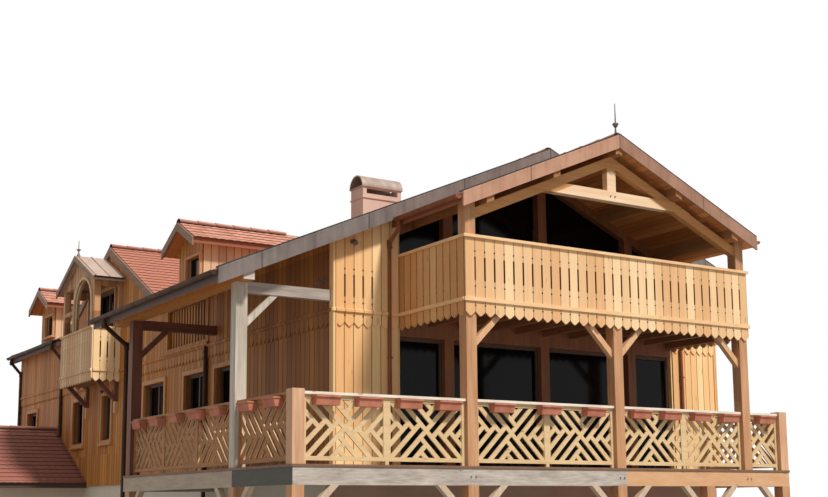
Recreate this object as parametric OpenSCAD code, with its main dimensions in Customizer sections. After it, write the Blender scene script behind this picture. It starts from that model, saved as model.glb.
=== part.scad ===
// Alpine chalet with a timber balcony, a trellised terrace and an arched loggia.
// +Z is up, X runs along the front and Y runs back from the front posts.
// The origin is on the ground, under the middle front post, below the ridge.

/* [Storeys] */
// Height of the ground storey, from the ground to the top of the terrace beams
ground_h = 2500; // [2300:10:3000]
// Height from the terrace beams to the trim band under the balcony
storey_h = 2626; // [2400:2:2900]
// Height from the trim band to the top of the balcony rail
parapet_h = 980; // [900:5:1100]
// Height from the trim band to the main ridge
ridge_rise = 3167; // [3000:1:3400]
// How much lower the front ridge is than the main ridge
front_drop = 214; // [200:1:300]

/* [House] */
// Distance from the ridge line to the left wall
house_left = 4280; // [4200:10:4500]
// Distance from the ridge line to the right wall
house_right = 4200; // [4100:10:4500]
// Distance from the front posts' centres to the front wall
wall_front = 1830; // [1700:10:2000]
// Length of the house behind the front wall
house_len = 18670; // [18600:10:20000]
// Thickness of a timber wall
wall_t = 250; // [200:5:320]
// Thickness of a plastered ground wall
plaster_t = 300; // [250:5:400]
// How far the plaster stands behind the timber above it
plaster_inset = 30; // [10:1:60]
// Thickness of a floor inside the house
floor_t = 200; // [150:5:260]

/* [Roof] */
// Pitch of the main and front roofs in degrees
roof_pitch = 23.6; // [22.5:0.1:24.5]
// Thickness of the main roof, measured upright
roof_t = 170; // [150:5:200]
// Thickness of the front roof, measured upright
front_roof_t = 130; // [110:5:160]
// Depth of a main barge board, measured upright
barge_h = 225; // [190:5:260]
// Depth of a front barge board, measured upright
front_barge_h = 190; // [170:5:220]
// Thickness of a barge board
barge_t = 35; // [25:1:50]
// How far the main roof reaches past the front and back walls
verge = 260; // [200:5:350]
// How far the front roof reaches past the front posts' centres
front_verge = 304; // [260:1:350]
// Half the width of the front roof
front_eave = 3215; // [3190:5:3300]
// How far the eaves reach past the side walls
eave_over = 285; // [250:5:350]
// Distance from the ridge line to the eave over the side terrace
terrace_eave = 6412; // [6350:2:6600]
// Distance from the front posts' centres to the far end of that eave
terrace_roof_end = 7420; // [7200:10:7600]

/* [Posts and beams] */
// Width of a square post
post = 190; // [150:5:220]
// Depth of a terrace beam
beam_h = 230; // [200:5:260]
// Thickness of the terrace boards
deck_t = 45; // [30:1:60]
// Half the width of the balcony, to the outside of its posts
balcony_half = 3050; // [2950:10:3100]
// Distance from the ridge line to the left end of the terrace
terrace_left = 5990; // [5900:10:6100]
// Distance from the ridge line to the right end of the terrace
terrace_right = 3980; // [3900:10:4100]
// Distance from the front posts' centres to the second side post
side_post_y = 6500; // [6300:10:6700]
// Height of the terrace rail's top above the terrace beams
terrace_rail_h = 1070; // [950:5:1150]
// Height of a tie beam's top above the terrace beams
tie_top = 2919; // [2850:1:2950]
// Depth of a tie beam
tie_h = 174; // [150:2:200]

/* [Balcony boards] */
// Spacing of the balcony boards
board_pitch = 185; // [150:1:190]
// Thickness of a balcony board
board_t = 27; // [20:1:35]
// Length of the slot between two boards
slot_len = 370; // [280:5:380]
// Width of the slot between two boards
slot_w = 34; // [15:1:40]
// Distance that the boards hang below the trim band, to their tips
skirt_h = 290; // [250:5:330]
// Depth of the pointed cut at a board's lower end
tip_h = 75; // [50:1:90]

/* [Trellis] */
// Width of a trellis slat
slat_w = 66; // [50:1:80]
// Spacing of the trellis slats, square to the slats
slat_pitch = 146; // [120:1:170]
// Thickness of a trellis slat
slat_t = 27; // [16:1:34]

/* [Side roofs] */
// Slope of the cross gable and the dormers, as rise over run
tile_slope = 0.53; // [0.51:0.01:0.55]
// Height of the cross gable's ridge above the trim band
cross_rise = 3028; // [3000:1:3100]
// Distance from the front posts' centres to the cross gable's ridge
cross_y = 12920; // [12800:10:13000]
// Thickness of the tiled roofs, measured upright
tile_roof_t = 120; // [90:5:140]
// Half the width of a dormer's walls
dormer_half = 600; // [550:5:650]
// Half the width of a dormer's roof
dormer_eave = 840; // [800:5:900]
// Height of the near dormer's ridge above the trim band
near_dormer_rise = 2584; // [2550:1:2620]
// Height of the far dormer's ridge above the trim band
far_dormer_rise = 2734; // [2700:1:2760]
// Distance from the front posts' centres to the near dormer's ridge
near_dormer_y = 7880; // [7800:10:8000]
// Distance from the front posts' centres to the far dormer's ridge
far_dormer_y = 17980; // [17900:10:18200]
// How far a dormer's roof reaches past its wall
dormer_verge = 336; // [280:1:400]

/* [Loggia] */
// How far the loggia stands out from the left wall
loggia_out = 670; // [600:10:750]
// Half the width of the loggia
loggia_half = 1175; // [1100:5:1200]
// How far the loggia's ridge lies behind the cross gable's ridge
loggia_shift = 270; // [180:10:330]
// Height of the loggia's ridge above the trim band
loggia_rise = 2794; // [2750:1:2850]
// Slope of the loggia's roof, as rise over run
loggia_slope = 0.49; // [0.46:0.01:0.52]
// Radius of the loggia's round arch
arch_r = 640; // [600:5:680]

/* [Chimney] */
// Width of the chimney
chimney_w = 930; // [850:10:1000]
// Depth of the chimney, front to back
chimney_d = 500; // [450:10:560]
// Height of the chimney's shoulder above the trim band
chimney_rise = 3440; // [3400:10:3550]
// Distance from the ridge line to the chimney's left side, on the left slope
chimney_x = 1230; // [1150:10:1300]
// Distance from the front posts' centres to the chimney's front
chimney_y = 6175; // [6100:10:6300]

/* [Annexe] */
// How far the low annexe stands out from the left wall
annexe_out = 3400; // [3000:50:4000]
// Height of the annexe's ridge above the terrace beams
annexe_rise = 1514; // [1400:1:1600]
// Distance from the front posts' centres to the annexe's ridge
annexe_y = 16870; // [16800:10:16950]
// Half the width of the annexe's roof
annexe_half = 2650; // [2550:10:2700]

/* [Hidden] */
LARCH = "burlywood";
ROSE_LARCH = "peru";
GREY_OAK = "gray";
TILE = "indianred";
ZINC = "slategray";
COPPER = "sienna";
PLASTER = "antiquewhite";
GLASS = "darkslategray";
eps = 1;
pipe_clip = 30;
slope = tan(roof_pitch);
band_z = ground_h + storey_h;
rail_z = band_z + parapet_h;
ridge_z = band_z + ridge_rise;
front_ridge_z = ridge_z - front_drop;
front_y = -post / 2;
house_back = wall_front + house_len;
floor_z = band_z - 20;
main_barge_h = min(barge_h, front_drop - 2);
lintel_rise = 2250;
lintel_z = ground_h + lintel_rise;
door_h = 2000;
sill_rise = 1050;
head_rise = 2100;
upper_sill = 1000;
upper_head = 2000;
side_deck_end = side_post_y + post / 2 + 120;
plate_z = ground_h + tie_top - 19;
inner_face = terrace_left - post;
beam_w = 120;
joist_w = 80;
joist_h = 160;
joist_pitch = 610;
joint_gap = 2;
seat_gap = 0.3;
brace_w = 95;
brace_run = 480;
rafter_h = 170;
purlin_h = 150;
purlin_half = 70;
purlin_x = 1345;
low_purlin_x = balcony_half - post - 180;
collar_rise = 4687;
collar_top = ground_h + collar_rise;
collar_h = 174;
mullion_x = 2060;
glass_t = 24;
glass_in = 140;
rail_t = 45;
rail_out = 35;
trim_h = 60;
trim_out = 26;
notch_d = 34;
slot_drop = 531;
notch_drop = 273;
skirt_notch_drop = 62;
panel_frame = 60;
panel_t = 46;
panel_lift = 65;
cap_w = 120;
cap_h = 40;
planter_l = 380;
planter_w = 150;
planter_h = 130;
planter_drop = 62;
gutter_r = 62;
gutter_t = 6;
pipe_r = 42;
front_pipe_r = 32;
sill_z = ground_h + sill_rise;
head_z = ground_h + head_rise;
gable_frame_h = 330;
cross_z = band_z + cross_rise;
cross_half = (cross_z - roof_top(house_left + 60)) / tile_slope;
loggia_y = cross_y + loggia_shift;
loggia_z = band_z + loggia_rise;
loggia_verge = 136;
loggia_roof_t = 90;
loggia_eave_half = loggia_half + 235;
small_barge_h = 170;
annexe_wall_in = 300;
annexe_roof_t = 120;
annexe_verge = 200;
dormer_wall_t = 120;
loggia_wall_t = 110;
arch_y = loggia_y - 360;
arch_z = band_z + 1534;
stack_t = 90;
slot_rise = 140;
cap_over = 25;
cap_t = 25;
ledge_out = 22;
ledge_t = 20;
pole_r = 11;
finial_h = 610;
finial_in = 100;
small_finial_h = 380;
neck_drop = 420;
truss_in = 35;
collar_out = 20;
arch_low = 90;
arch_post = 110;
loggia_post = 130;
loggia_side_t = 100;
loggia_plate = 60;
door_head_gap = 200;
annexe_window = 600;
annexe_sill = 1000;
annexe_head = 2100;
annexe_slope = 0.5385;
annexe_ridge = ground_h + annexe_rise;
shoulder_z = band_z + chimney_rise;

// Left edges of the posts under the front beam
DECK_POSTS = [-terrace_left, -balcony_half, -post / 2, mullion_x - 50 - post / 2, terrace_right - post];
// Windows of the left wall at the terrace storey: centre along the wall and width
SIDE_WINDOWS = [[5920, 1140], [7510, 1040], [9735, 1190], [12825, 650], [14980, 810], [19130, 940]];
// Windows of the back wall at the terrace storey and the upper storey: centre and width
BACK_WINDOWS = [[-2500, 1140], [0, 1140], [2500, 1140]];
BACK_UPPER_WINDOWS = [[-1300, 1000], [1300, 1000]];
// The barred upper opening of a side wall: near edge, far edge, sill and head
UPPER_OPENING = [6910, 8960, band_z + 104, band_z + 900];
// The glazed door from the house to the loggia: near edge, far edge, sill and head
LOGGIA_DOOR = [loggia_y - 740, loggia_y + 660, floor_z, floor_z + door_h];
// A dormer's window: near and far edges from its ridge, then sill and head below the ridge
DORMER_WINDOW = [-560, 140, -1260, -730];
// Each dormer: place of its ridge along the roof and the ridge's height
DORMERS = [[near_dormer_y, band_z + near_dormer_rise], [far_dormer_y, band_z + far_dormer_rise]];

// Height of a roof's top face at a distance from the ridge line
function roof_top(x) = ridge_z - slope * abs(x);
function roof_under(x) = roof_top(x) - roof_t;
function front_under(x) = front_ridge_z - front_roof_t - slope * abs(x);
function tiled_top(z, y, y_ridge) = z - tile_slope * abs(y - y_ridge);

// A box given by its two corners
module box(x0, x1, y0, y1, z0, z1) {
  translate([x0, y0, z0]) cube([x1 - x0, y1 - y0, z1 - z0]);
}

// An outline in X and Z, drawn out from y0 to y1
module along_y(y0, y1) {
  translate([0, y1, 0]) rotate([90, 0, 0]) linear_extrude(y1 - y0) children();
}

// An outline in Y and Z, drawn out from x0 to x1
module along_x(x0, x1) {
  translate([x0, 0, 0]) rotate([90, 0, 90]) linear_extrude(x1 - x0) children();
}

// One sloping band of a roof between two distances from the ridge, in X and Z or Y and Z
module slope_band(u0, u1, ridge, pitch, depth, centre = 0) {
  polygon([
    [u0, ridge - pitch * abs(u0 - centre)], [u1, ridge - pitch * abs(u1 - centre)],
    [u1, ridge - pitch * abs(u1 - centre) - depth], [u0, ridge - pitch * abs(u0 - centre) - depth]]);
}

// Both slopes of a small roof, in Y and Z
module ridge_band(half, ridge, pitch, depth, centre) {
  polygon([
    [centre - half, ridge - pitch * half], [centre, ridge], [centre + half, ridge - pitch * half],
    [centre + half, ridge - pitch * half - depth], [centre, ridge - depth],
    [centre - half, ridge - pitch * half - depth]]);
}

// Everything below the main roof's left top face
module below_main_roof(x0, x1, y0, y1) {
  along_y(y0, y1) polygon([[x0, 0], [x1, 0], [x1, ridge_z + slope * x1], [x0, ridge_z + slope * x0]]);
}

// A knee brace in X and Z, from a post's face at x up to a beam's underside at z
module brace_xz(x, z, side, y0, run = brace_run) {
  h = brace_w / sqrt(2);
  along_y(y0, y0 + brace_w) polygon([
    [x, z - run - h], [x, z - run + h], [x + side * (run - h), z], [x + side * (run + h), z]]);
}

// The same brace in Y and Z
module brace_yz(y, z, side, x0, run = brace_run) {
  h = brace_w / sqrt(2);
  along_x(x0, x0 + brace_w) polygon([
    [y, z - run - h], [y, z - run + h], [y + side * (run - h), z], [y + side * (run + h), z]]);
}

// Ground storey
module ground_front_wall() {
  color(PLASTER) box(-house_left + plaster_inset, house_right - plaster_inset,
    wall_front + plaster_inset, wall_front + plaster_inset + plaster_t, 0, ground_h - floor_t);
}

module ground_back_wall() {
  color(PLASTER) box(-house_left + plaster_inset, house_right - plaster_inset,
    house_back - plaster_inset - plaster_t, house_back - plaster_inset, 0, ground_h - floor_t);
}

module ground_side_walls() {
  y0 = wall_front + plaster_inset + plaster_t;
  y1 = house_back - plaster_inset - plaster_t;
  color(PLASTER) {
    box(-house_left + plaster_inset, -house_left + plaster_inset + plaster_t, y0, y1, 0, ground_h - floor_t);
    box(house_right - plaster_inset - plaster_t, house_right - plaster_inset, y0, y1, 0, ground_h - floor_t);
  }
}

module terrace_floor_slab() {
  color(PLASTER) box(-house_left + plaster_inset, house_right - plaster_inset,
    wall_front + plaster_inset, house_back - plaster_inset, ground_h - floor_t, ground_h);
}

module upper_floor_slab() {
  color(LARCH) box(-house_left + wall_t, house_right - wall_t,
    wall_front + wall_t, house_back - wall_t, floor_z - floor_t, floor_z);
}

// Terrace
module front_deck() {
  color(GREY_OAK) box(-terrace_left, terrace_right, front_y, wall_front, ground_h, ground_h + deck_t);
}

module side_deck() {
  color(GREY_OAK) box(-terrace_left, -house_left, wall_front, side_deck_end, ground_h, ground_h + deck_t);
}

// Edge beams, with the joists hung between them and the house
module deck_beams() {
  z0 = ground_h - beam_h;
  wall_face = wall_front + plaster_inset;
  side_face = -house_left + plaster_inset;
  joist_y = front_y + beam_w + joint_gap;
  joist_x = -terrace_left + beam_w + joint_gap;
  color(GREY_OAK) {
    box(-terrace_left, terrace_right, front_y, front_y + beam_w, z0, ground_h);
    box(-terrace_left, -terrace_left + beam_w, joist_y, side_deck_end, z0, ground_h);
    box(terrace_right - beam_w, terrace_right, joist_y, wall_face, z0, ground_h);
    box(joist_x, side_face, side_deck_end - beam_w, side_deck_end, z0, ground_h);
    for (x = [-terrace_left + joist_pitch : joist_pitch : terrace_right - joist_pitch / 2])
      box(x - joist_w / 2, x + joist_w / 2, joist_y, wall_face, ground_h - joist_h, ground_h);
    for (y = [wall_face + joist_pitch / 2 : joist_pitch : side_deck_end - beam_w - joist_w])
      box(joist_x, side_face, y, y + joist_w, ground_h - joist_h, ground_h);
  }
}

module deck_posts() {
  color(ROSE_LARCH) {
    for (x = DECK_POSTS) box(x, x + post, front_y, front_y + post, 0, ground_h - beam_h);
    for (y = [wall_front, side_post_y - post / 2])
      box(-terrace_left, -inner_face, y, y + post, 0, ground_h - beam_h);
  }
}

module braces() {
  under_beam = ground_h - beam_h;
  under_floor = floor_z - floor_t;
  y0 = front_y + (post - brace_w) / 2;
  color(ROSE_LARCH) {
    for (i = [0 : len(DECK_POSTS) - 1]) {
      if (i > 0) brace_xz(DECK_POSTS[i], under_beam, -1, front_y);
      if (i < len(DECK_POSTS) - 1) brace_xz(DECK_POSTS[i] + post, under_beam, 1, front_y);
    }
    for (x = [-balcony_half + post, post / 2]) brace_xz(x, under_floor, 1, y0);
    for (x = [-post / 2, balcony_half - post]) brace_xz(x, under_floor, -1, y0);
    brace_xz(-inner_face, plate_z + 19 - tie_h, 1, wall_front + 50);
    brace_xz(-inner_face, plate_z + 19 - tie_h, 1, side_post_y - brace_w / 2);
    for (y = [loggia_y - loggia_half + 80, loggia_y + loggia_half - 80 - brace_w]) {
      brace_xz(-house_left - brace_w - seat_gap, under_floor, -1, y, loggia_out - brace_w - 130);
      box(-house_left - brace_w, -house_left, y, y + brace_w, under_floor - 770, under_floor - 10);
    }
    brace_yz(wall_front + post, under_beam, 1, -terrace_left);
    brace_yz(wall_front, under_beam, -1, -terrace_left);
    brace_yz(side_post_y - post / 2, under_beam, -1, -terrace_left);
  }
}

// Front of the house
module front_bays() {
  color(LARCH) for (b = [[-house_left, -balcony_half], [balcony_half, house_right]])
    along_y(wall_front, wall_front + wall_t) polygon([
      [b[0], ground_h], [b[1], ground_h], [b[1], roof_under(b[1])], [b[0], roof_under(b[0])]]);
}

module front_lintel() {
  color(LARCH) box(-balcony_half, balcony_half, wall_front, wall_front + wall_t, lintel_z, floor_z);
}

// The posts between the panes, on both storeys
module front_mullions() {
  color(ROSE_LARCH) for (x = [-mullion_x, 0, mullion_x]) {
    box(x - post / 2, x + post / 2, wall_front, wall_front + post, ground_h, lintel_z);
    along_y(wall_front, wall_front + post) polygon([
      [x - post / 2, floor_z], [x + post / 2, floor_z],
      [x + post / 2, roof_under(x + post / 2) - gable_frame_h], [x, roof_under(x) - gable_frame_h],
      [x - post / 2, roof_under(x - post / 2) - gable_frame_h]]);
  }
}

// The deep frame that closes the glazed gable under the roof
module gable_frame() {
  color(ROSE_LARCH) for (s = [-1, 1]) along_y(wall_front, wall_front + post)
    slope_band(s * joint_gap / 2, s * balcony_half, ridge_z - roof_t, slope, gable_frame_h);
}

module front_glazing() {
  y0 = wall_front + glass_in;
  edges = [-balcony_half, -mullion_x - post / 2, -mullion_x + post / 2, -post / 2,
           post / 2, mullion_x - post / 2, mullion_x + post / 2, balcony_half];
  color(GLASS) for (i = [0 : 2 : len(edges) - 2]) {
    box(edges[i], edges[i + 1], y0, y0 + glass_t, ground_h, lintel_z);
    along_y(y0, y0 + glass_t) polygon([
      [edges[i], floor_z], [edges[i + 1], floor_z],
      [edges[i + 1], roof_under(edges[i + 1]) - gable_frame_h],
      [edges[i], roof_under(edges[i]) - gable_frame_h]]);
  }
}

// House walls
module side_openings(x0, x1) {
  for (w = SIDE_WINDOWS) box(x0, x1, w[0] - w[1] / 2, w[0] + w[1] / 2, sill_z, head_z);
  box(x0, x1, UPPER_OPENING[0], UPPER_OPENING[1], UPPER_OPENING[2], UPPER_OPENING[3]);
}

module loggia_door(x0, x1) {
  box(x0, x1, LOGGIA_DOOR[0], LOGGIA_DOOR[1], LOGGIA_DOOR[2], LOGGIA_DOOR[3]);
}

module dormer_window(d, x0, x1) {
  box(x0, x1, d[0] + DORMER_WINDOW[0], d[0] + DORMER_WINDOW[1],
    d[1] + DORMER_WINDOW[2], d[1] + DORMER_WINDOW[3]);
}

module left_wall() {
  color(LARCH) difference() {
    along_y(wall_front + wall_t, house_back - wall_t) polygon([
      [-house_left, ground_h], [-house_left + wall_t, ground_h],
      [-house_left + wall_t, roof_under(house_left - wall_t)], [-house_left, roof_under(house_left)]]);
    side_openings(-house_left - eps, -house_left + wall_t + eps);
    loggia_door(-house_left - eps, -house_left + wall_t + eps);
  }
}

module right_wall() {
  color(LARCH) difference() {
    along_y(wall_front + wall_t, house_back - wall_t) polygon([
      [house_right - wall_t, ground_h], [house_right, ground_h],
      [house_right, roof_under(house_right)], [house_right - wall_t, roof_under(house_right - wall_t)]]);
    side_openings(house_right - wall_t - eps, house_right + eps);
  }
}

module back_openings(y0, y1) {
  for (w = BACK_WINDOWS) box(w[0] - w[1] / 2, w[0] + w[1] / 2, y0, y1, sill_z, head_z);
  for (w = BACK_UPPER_WINDOWS)
    box(w[0] - w[1] / 2, w[0] + w[1] / 2, y0, y1, floor_z + upper_sill, floor_z + upper_head);
}

module back_wall() {
  color(LARCH) difference() {
    along_y(house_back - wall_t, house_back) polygon([
      [-house_left, ground_h], [house_right, ground_h], [house_right, roof_under(house_right)],
      [0, roof_under(0)], [-house_left, roof_under(house_left)]]);
    back_openings(house_back - wall_t - eps, house_back + eps);
  }
}

// One pane in each window of the side and back walls and of the dormers; the loggia is open
module window_glass() {
  color(GLASS) {
    side_openings(-house_left + glass_in, -house_left + glass_in + glass_t);
    side_openings(house_right - glass_in - glass_t, house_right - glass_in);
    back_openings(house_back - glass_in - glass_t, house_back - glass_in);
    loggia_door(-house_left + glass_in, -house_left + glass_in + glass_t);
    for (d = DORMERS) dormer_window(d, -house_left + 50, -house_left + 50 + glass_t);
  }
}

// Main roof
module main_roof_left() {
  y0 = wall_front - verge;
  y1 = house_back + verge;
  color(TILE) difference() {
    along_y(y0, y1) slope_band(-terrace_eave, 0, ridge_z, slope, roof_t);
    box(-terrace_eave - eps, -house_left - eave_over, terrace_roof_end, y1 + eps, 0, ridge_z);
    box(-terrace_eave - eps, -house_left + wall_t, cross_y - cross_half, cross_y + cross_half, 0, ridge_z);
  }
}

module main_roof_right() {
  color(TILE) along_y(wall_front - verge, house_back + verge)
    slope_band(0, house_right + eave_over, ridge_z, slope, roof_t);
}

module main_barge_boards() {
  right = house_right + eave_over;
  color(ZINC) {
    for (e = [[wall_front - verge - barge_t, terrace_eave], [house_back + verge, house_left + eave_over]]) {
      along_y(e[0], e[0] + barge_t) slope_band(-e[1], -joint_gap / 2, ridge_z, slope, main_barge_h);
      along_y(e[0], e[0] + barge_t) slope_band(joint_gap / 2, right, ridge_z, slope, main_barge_h);
    }
  }
}

// Front roof
module front_roof() {
  color(TILE) along_y(-front_verge + barge_t, wall_front)
    ridge_band(front_eave, front_ridge_z, slope, front_roof_t, 0);
}

module front_barge_boards() {
  color(ROSE_LARCH) along_y(-front_verge, -front_verge + barge_t) {
    slope_band(-front_eave, -joint_gap / 2, front_ridge_z, slope, front_barge_h);
    slope_band(joint_gap / 2, front_eave, front_ridge_z, slope, front_barge_h);
  }
}

// Rafters, collar and king post in the plane of the front posts
module front_truss() {
  y0 = front_y + truss_in;
  foot = balcony_half - post;
  rafter_top = front_ridge_z - front_roof_t - purlin_h;
  collar_reach = (rafter_top - collar_top) / slope;
  color(LARCH) {
    along_y(y0, y0 + beam_w) ridge_band(foot, rafter_top, slope, rafter_h, 0);
    along_y(y0 - collar_out, y0 + beam_w) polygon([
      [-collar_reach, collar_top], [collar_reach, collar_top],
      [collar_reach + collar_h / slope, collar_top - collar_h],
      [-collar_reach - collar_h / slope, collar_top - collar_h]]);
    along_y(y0, y0 + beam_w) polygon([
      [-post / 2, collar_top - collar_h], [post / 2, collar_top - collar_h],
      [post / 2, rafter_top - slope * post / 2], [0, rafter_top],
      [-post / 2, rafter_top - slope * post / 2]]);
  }
}

// Ridge purlin and two purlins on each slope, from behind the barge to the wall
module purlins() {
  y0 = -front_verge + barge_t;
  color(LARCH) {
    along_y(y0, wall_front) ridge_band(purlin_half, front_ridge_z - front_roof_t, slope, purlin_h, 0);
    for (s = [-1, 1], x = [purlin_x, low_purlin_x]) along_y(y0, wall_front)
      slope_band(s * (x - purlin_half), s * (x + purlin_half), front_ridge_z - front_roof_t, slope, purlin_h);
  }
}

// Balcony
module balcony_posts() {
  z0 = ground_h + deck_t;
  color(ROSE_LARCH) {
    for (s = [-1, 1]) along_y(front_y, front_y + post) polygon([
      [s * balcony_half, z0], [s * (balcony_half - post), z0],
      [s * (balcony_half - post), front_under(balcony_half - post)],
      [s * balcony_half, front_under(balcony_half)]]);
    box(-post / 2, post / 2, front_y, front_y + post, z0, floor_z - floor_t);
  }
}

module balcony_floor() {
  z0 = floor_z - floor_t;
  color(LARCH) difference() {
    union() {
      box(-balcony_half, balcony_half, front_y, wall_front, floor_z - 40, floor_z);
      box(-balcony_half, balcony_half, front_y, front_y + beam_w, z0, floor_z);
      for (s = [-1, 1]) box(min(s * balcony_half, s * (balcony_half - beam_w)),
        max(s * balcony_half, s * (balcony_half - beam_w)), front_y, wall_front, z0, floor_z);
      for (x = [-balcony_half + joist_pitch : joist_pitch : balcony_half - joist_pitch / 2])
        box(x - joist_w / 2, x + joist_w / 2, front_y, wall_front, z0 + 40, floor_z);
    }
    for (x = [-balcony_half, balcony_half - post])
      box(x - eps, x + post + (x > 0 ? eps : 0), front_y - eps, front_y + post, z0 - eps, floor_z + eps);
  }
}

// A row of boards of a width, from the tips to the rail, with slots, notches and pointed ends
module carved_boards(width) {
  count = round(width / board_pitch);
  pitch = width / count;
  tip_z = band_z - skirt_h;
  skirt_notch = rail_z - band_z + trim_h + skirt_notch_drop;
  side_steps = 4;
  lobe = [for (k = [0 : 2 * side_steps - 1]) let (u = k / side_steps, v = u <= 1 ? u : 2 - u)
    [u / 2, sin(66 * v) / sin(66)]];
  difference() {
    polygon(concat(
      [for (i = [0 : count - 1], q = lobe) [(i + q[0]) * pitch, tip_z + tip_h * (1 - q[1])]],
      [[width, tip_z + tip_h], [width, rail_z - rail_t], [0, rail_z - rail_t]]));
    for (i = [1 : count - 1]) translate([i * pitch, rail_z]) {
      translate([-slot_w / 2, -slot_drop - slot_len / 2]) square([slot_w, slot_len]);
      for (d = [slot_drop - notch_drop, slot_drop + notch_drop, skirt_notch])
        translate([0, -d]) circle(d = notch_d, $fn = 8);
    }
  }
}

module balcony_boards() {
  front_w = 2 * (balcony_half + board_t);
  side_y = front_y + joint_gap;
  color(LARCH) {
    along_y(front_y - board_t, front_y) translate([-front_w / 2, 0]) carved_boards(front_w);
    for (x = [-balcony_half - board_t, balcony_half])
      along_x(x, x + board_t) translate([side_y, 0]) carved_boards(wall_front - side_y);
  }
}

// The top rail and the trim band, along the front and both sides
module balcony_rails() {
  out = board_t + rail_out;
  mid = board_t + trim_out;
  color(LARCH) {
    box(-balcony_half - out, balcony_half + out, front_y - out, front_y, rail_z - rail_t, rail_z);
    box(-balcony_half - mid, balcony_half + mid, front_y - mid, front_y - board_t, band_z - trim_h, band_z);
    for (s = [-1, 1]) {
      box(min(s * balcony_half, s * (balcony_half + out)), max(s * balcony_half, s * (balcony_half + out)),
        front_y + joint_gap, wall_front, rail_z - rail_t, rail_z);
      box(min(s * (balcony_half + board_t), s * (balcony_half + mid)),
        max(s * (balcony_half + board_t), s * (balcony_half + mid)),
        front_y + joint_gap, wall_front, band_z - trim_h, band_z);
    }
  }
}

// Terrace posts and trellis
module terrace_posts() {
  z0 = ground_h + deck_t;
  z1 = ground_h + terrace_rail_h + 30;
  color(ROSE_LARCH) {
    box(-terrace_left, -inner_face, front_y, front_y + post, z0, z1);
    box(terrace_right - post, terrace_right, front_y, front_y + post, z0, z1);
    for (y = [wall_front, side_post_y - post / 2]) box(-terrace_left, -inner_face, y, y + post, z0, plate_z);
  }
}

// Slats at 45 degrees over a rectangle, set out from a centre, rising or falling to the right
module slats(x0, x1, y0, y1, centre, rising) {
  reach = x1 - x0 + y1 - y0;
  n = ceil(reach / slat_pitch);
  intersection() {
    translate([x0, y0]) square([x1 - x0, y1 - y0]);
    translate(centre) for (i = [-n : n]) translate([0, i * slat_pitch * sqrt(2)])
      rotate(rising ? 45 : -45) translate([-2 * reach, -slat_w / 2]) square([4 * reach, slat_w]);
  }
}

// The four fields of a panel: each field's slats butt against those of the next
module trellis_panel(w, h) {
  iw = w - 2 * panel_frame;
  ih = h - 2 * panel_frame;
  c = [iw / 2, ih / 2];
  over = slat_pitch / sqrt(2);
  translate([panel_frame, panel_frame]) {
    slats(0, c[0] + over, c[1], ih, c, false);
    slats(c[0], iw, c[1] - over, ih, c, true);
    slats(c[0] - over, iw, 0, c[1], c, false);
    slats(0, c[0], 0, c[1] + over, c, true);
  }
}

module trellis_frame(w, h) {
  difference() {
    square([w, h]);
    translate([panel_frame, panel_frame]) square([w - 2 * panel_frame, h - 2 * panel_frame]);
  }
}

// Panels side by side over a run, with feet on the deck and a flat rail on top
module trellis_run(length, count) {
  h = terrace_rail_h - deck_t - panel_lift - cap_h;
  w = length / count;
  for (i = [0 : count - 1]) translate([i * w, panel_lift]) {
    linear_extrude(panel_t) trellis_frame(w, h);
    translate([0, 0, (panel_t - slat_t) / 2]) linear_extrude(slat_t) trellis_panel(w, h);
  }
  translate([0, panel_lift + h, (panel_t - cap_w) / 2]) cube([length, cap_h, cap_w]);
  for (i = [0 : count]) linear_extrude(panel_t)
    translate([min(max(i * w - panel_frame / 2, 0), length - panel_frame), 0])
      square([panel_frame, panel_lift]);
}

module front_trellis() {
  y0 = front_y + (post + panel_t) / 2;
  z0 = ground_h + deck_t;
  runs = [[-inner_face, -balcony_half, 2], [-balcony_half + post, -post / 2, 2],
          [post / 2, balcony_half - post, 2], [balcony_half, terrace_right - post, 1]];
  color(LARCH) for (r = runs)
    translate([r[0], y0, z0]) rotate([90, 0, 0]) trellis_run(r[1] - r[0], r[2]);
}

module side_trellis() {
  z0 = ground_h + deck_t;
  x_left = -terrace_left + (post - panel_t) / 2;
  x_right = terrace_right - (post + panel_t) / 2;
  runs = [[x_left, front_y + post, wall_front, 1], [x_left, wall_front + post, side_post_y - post / 2, 3],
          [x_right, front_y + post, wall_front, 1]];
  color(LARCH) for (r = runs)
    translate([r[0], r[1], z0]) rotate([90, 0, 90]) trellis_run(r[2] - r[1], r[3]);
}

// Clay boxes along a trellis, narrower at the foot, full of earth
module planters(length, count) {
  step = length / count;
  foot = planter_w - 30;
  for (i = [0 : count - 1]) translate([(i + 0.5) * step - planter_l / 2, 0, 0])
    along_x(0, planter_l) polygon([[0, 0], [-planter_w, 0], [-foot, -planter_h], [0, -planter_h]]);
}

module flower_boxes() {
  z = ground_h + terrace_rail_h - planter_drop;
  x = -terrace_left + (post - panel_t) / 2;
  runs = [[-inner_face, -balcony_half, 4], [-balcony_half + post, -post / 2, 3],
          [post / 2, balcony_half - post, 4], [balcony_half, terrace_right - post, 1]];
  color(COPPER) {
    for (r = runs) translate([r[0], -panel_t / 2, z]) planters(r[1] - r[0], r[2]);
    for (r = [[front_y + post, wall_front, 2], [wall_front + post, side_post_y - post / 2, 5]])
      translate([x, r[1], z]) rotate(-90) planters(r[1] - r[0], r[2]);
  }
}

// Tie beams from the side posts to the house, and the plate under the eave
module tie_beams() {
  z1 = plate_z + 19;
  color(GREY_OAK) {
    for (y = [wall_front + 35, side_post_y - beam_w / 2])
      box(-inner_face, -house_left, y, y + beam_w, z1 - tie_h, z1);
    along_y(wall_front - verge, terrace_roof_end) polygon([
      [-terrace_left, plate_z], [-inner_face - joint_gap, plate_z],
      [-inner_face - joint_gap, roof_under(inner_face + joint_gap)],
      [-terrace_left, roof_under(terrace_left)]]);
  }
}

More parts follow.
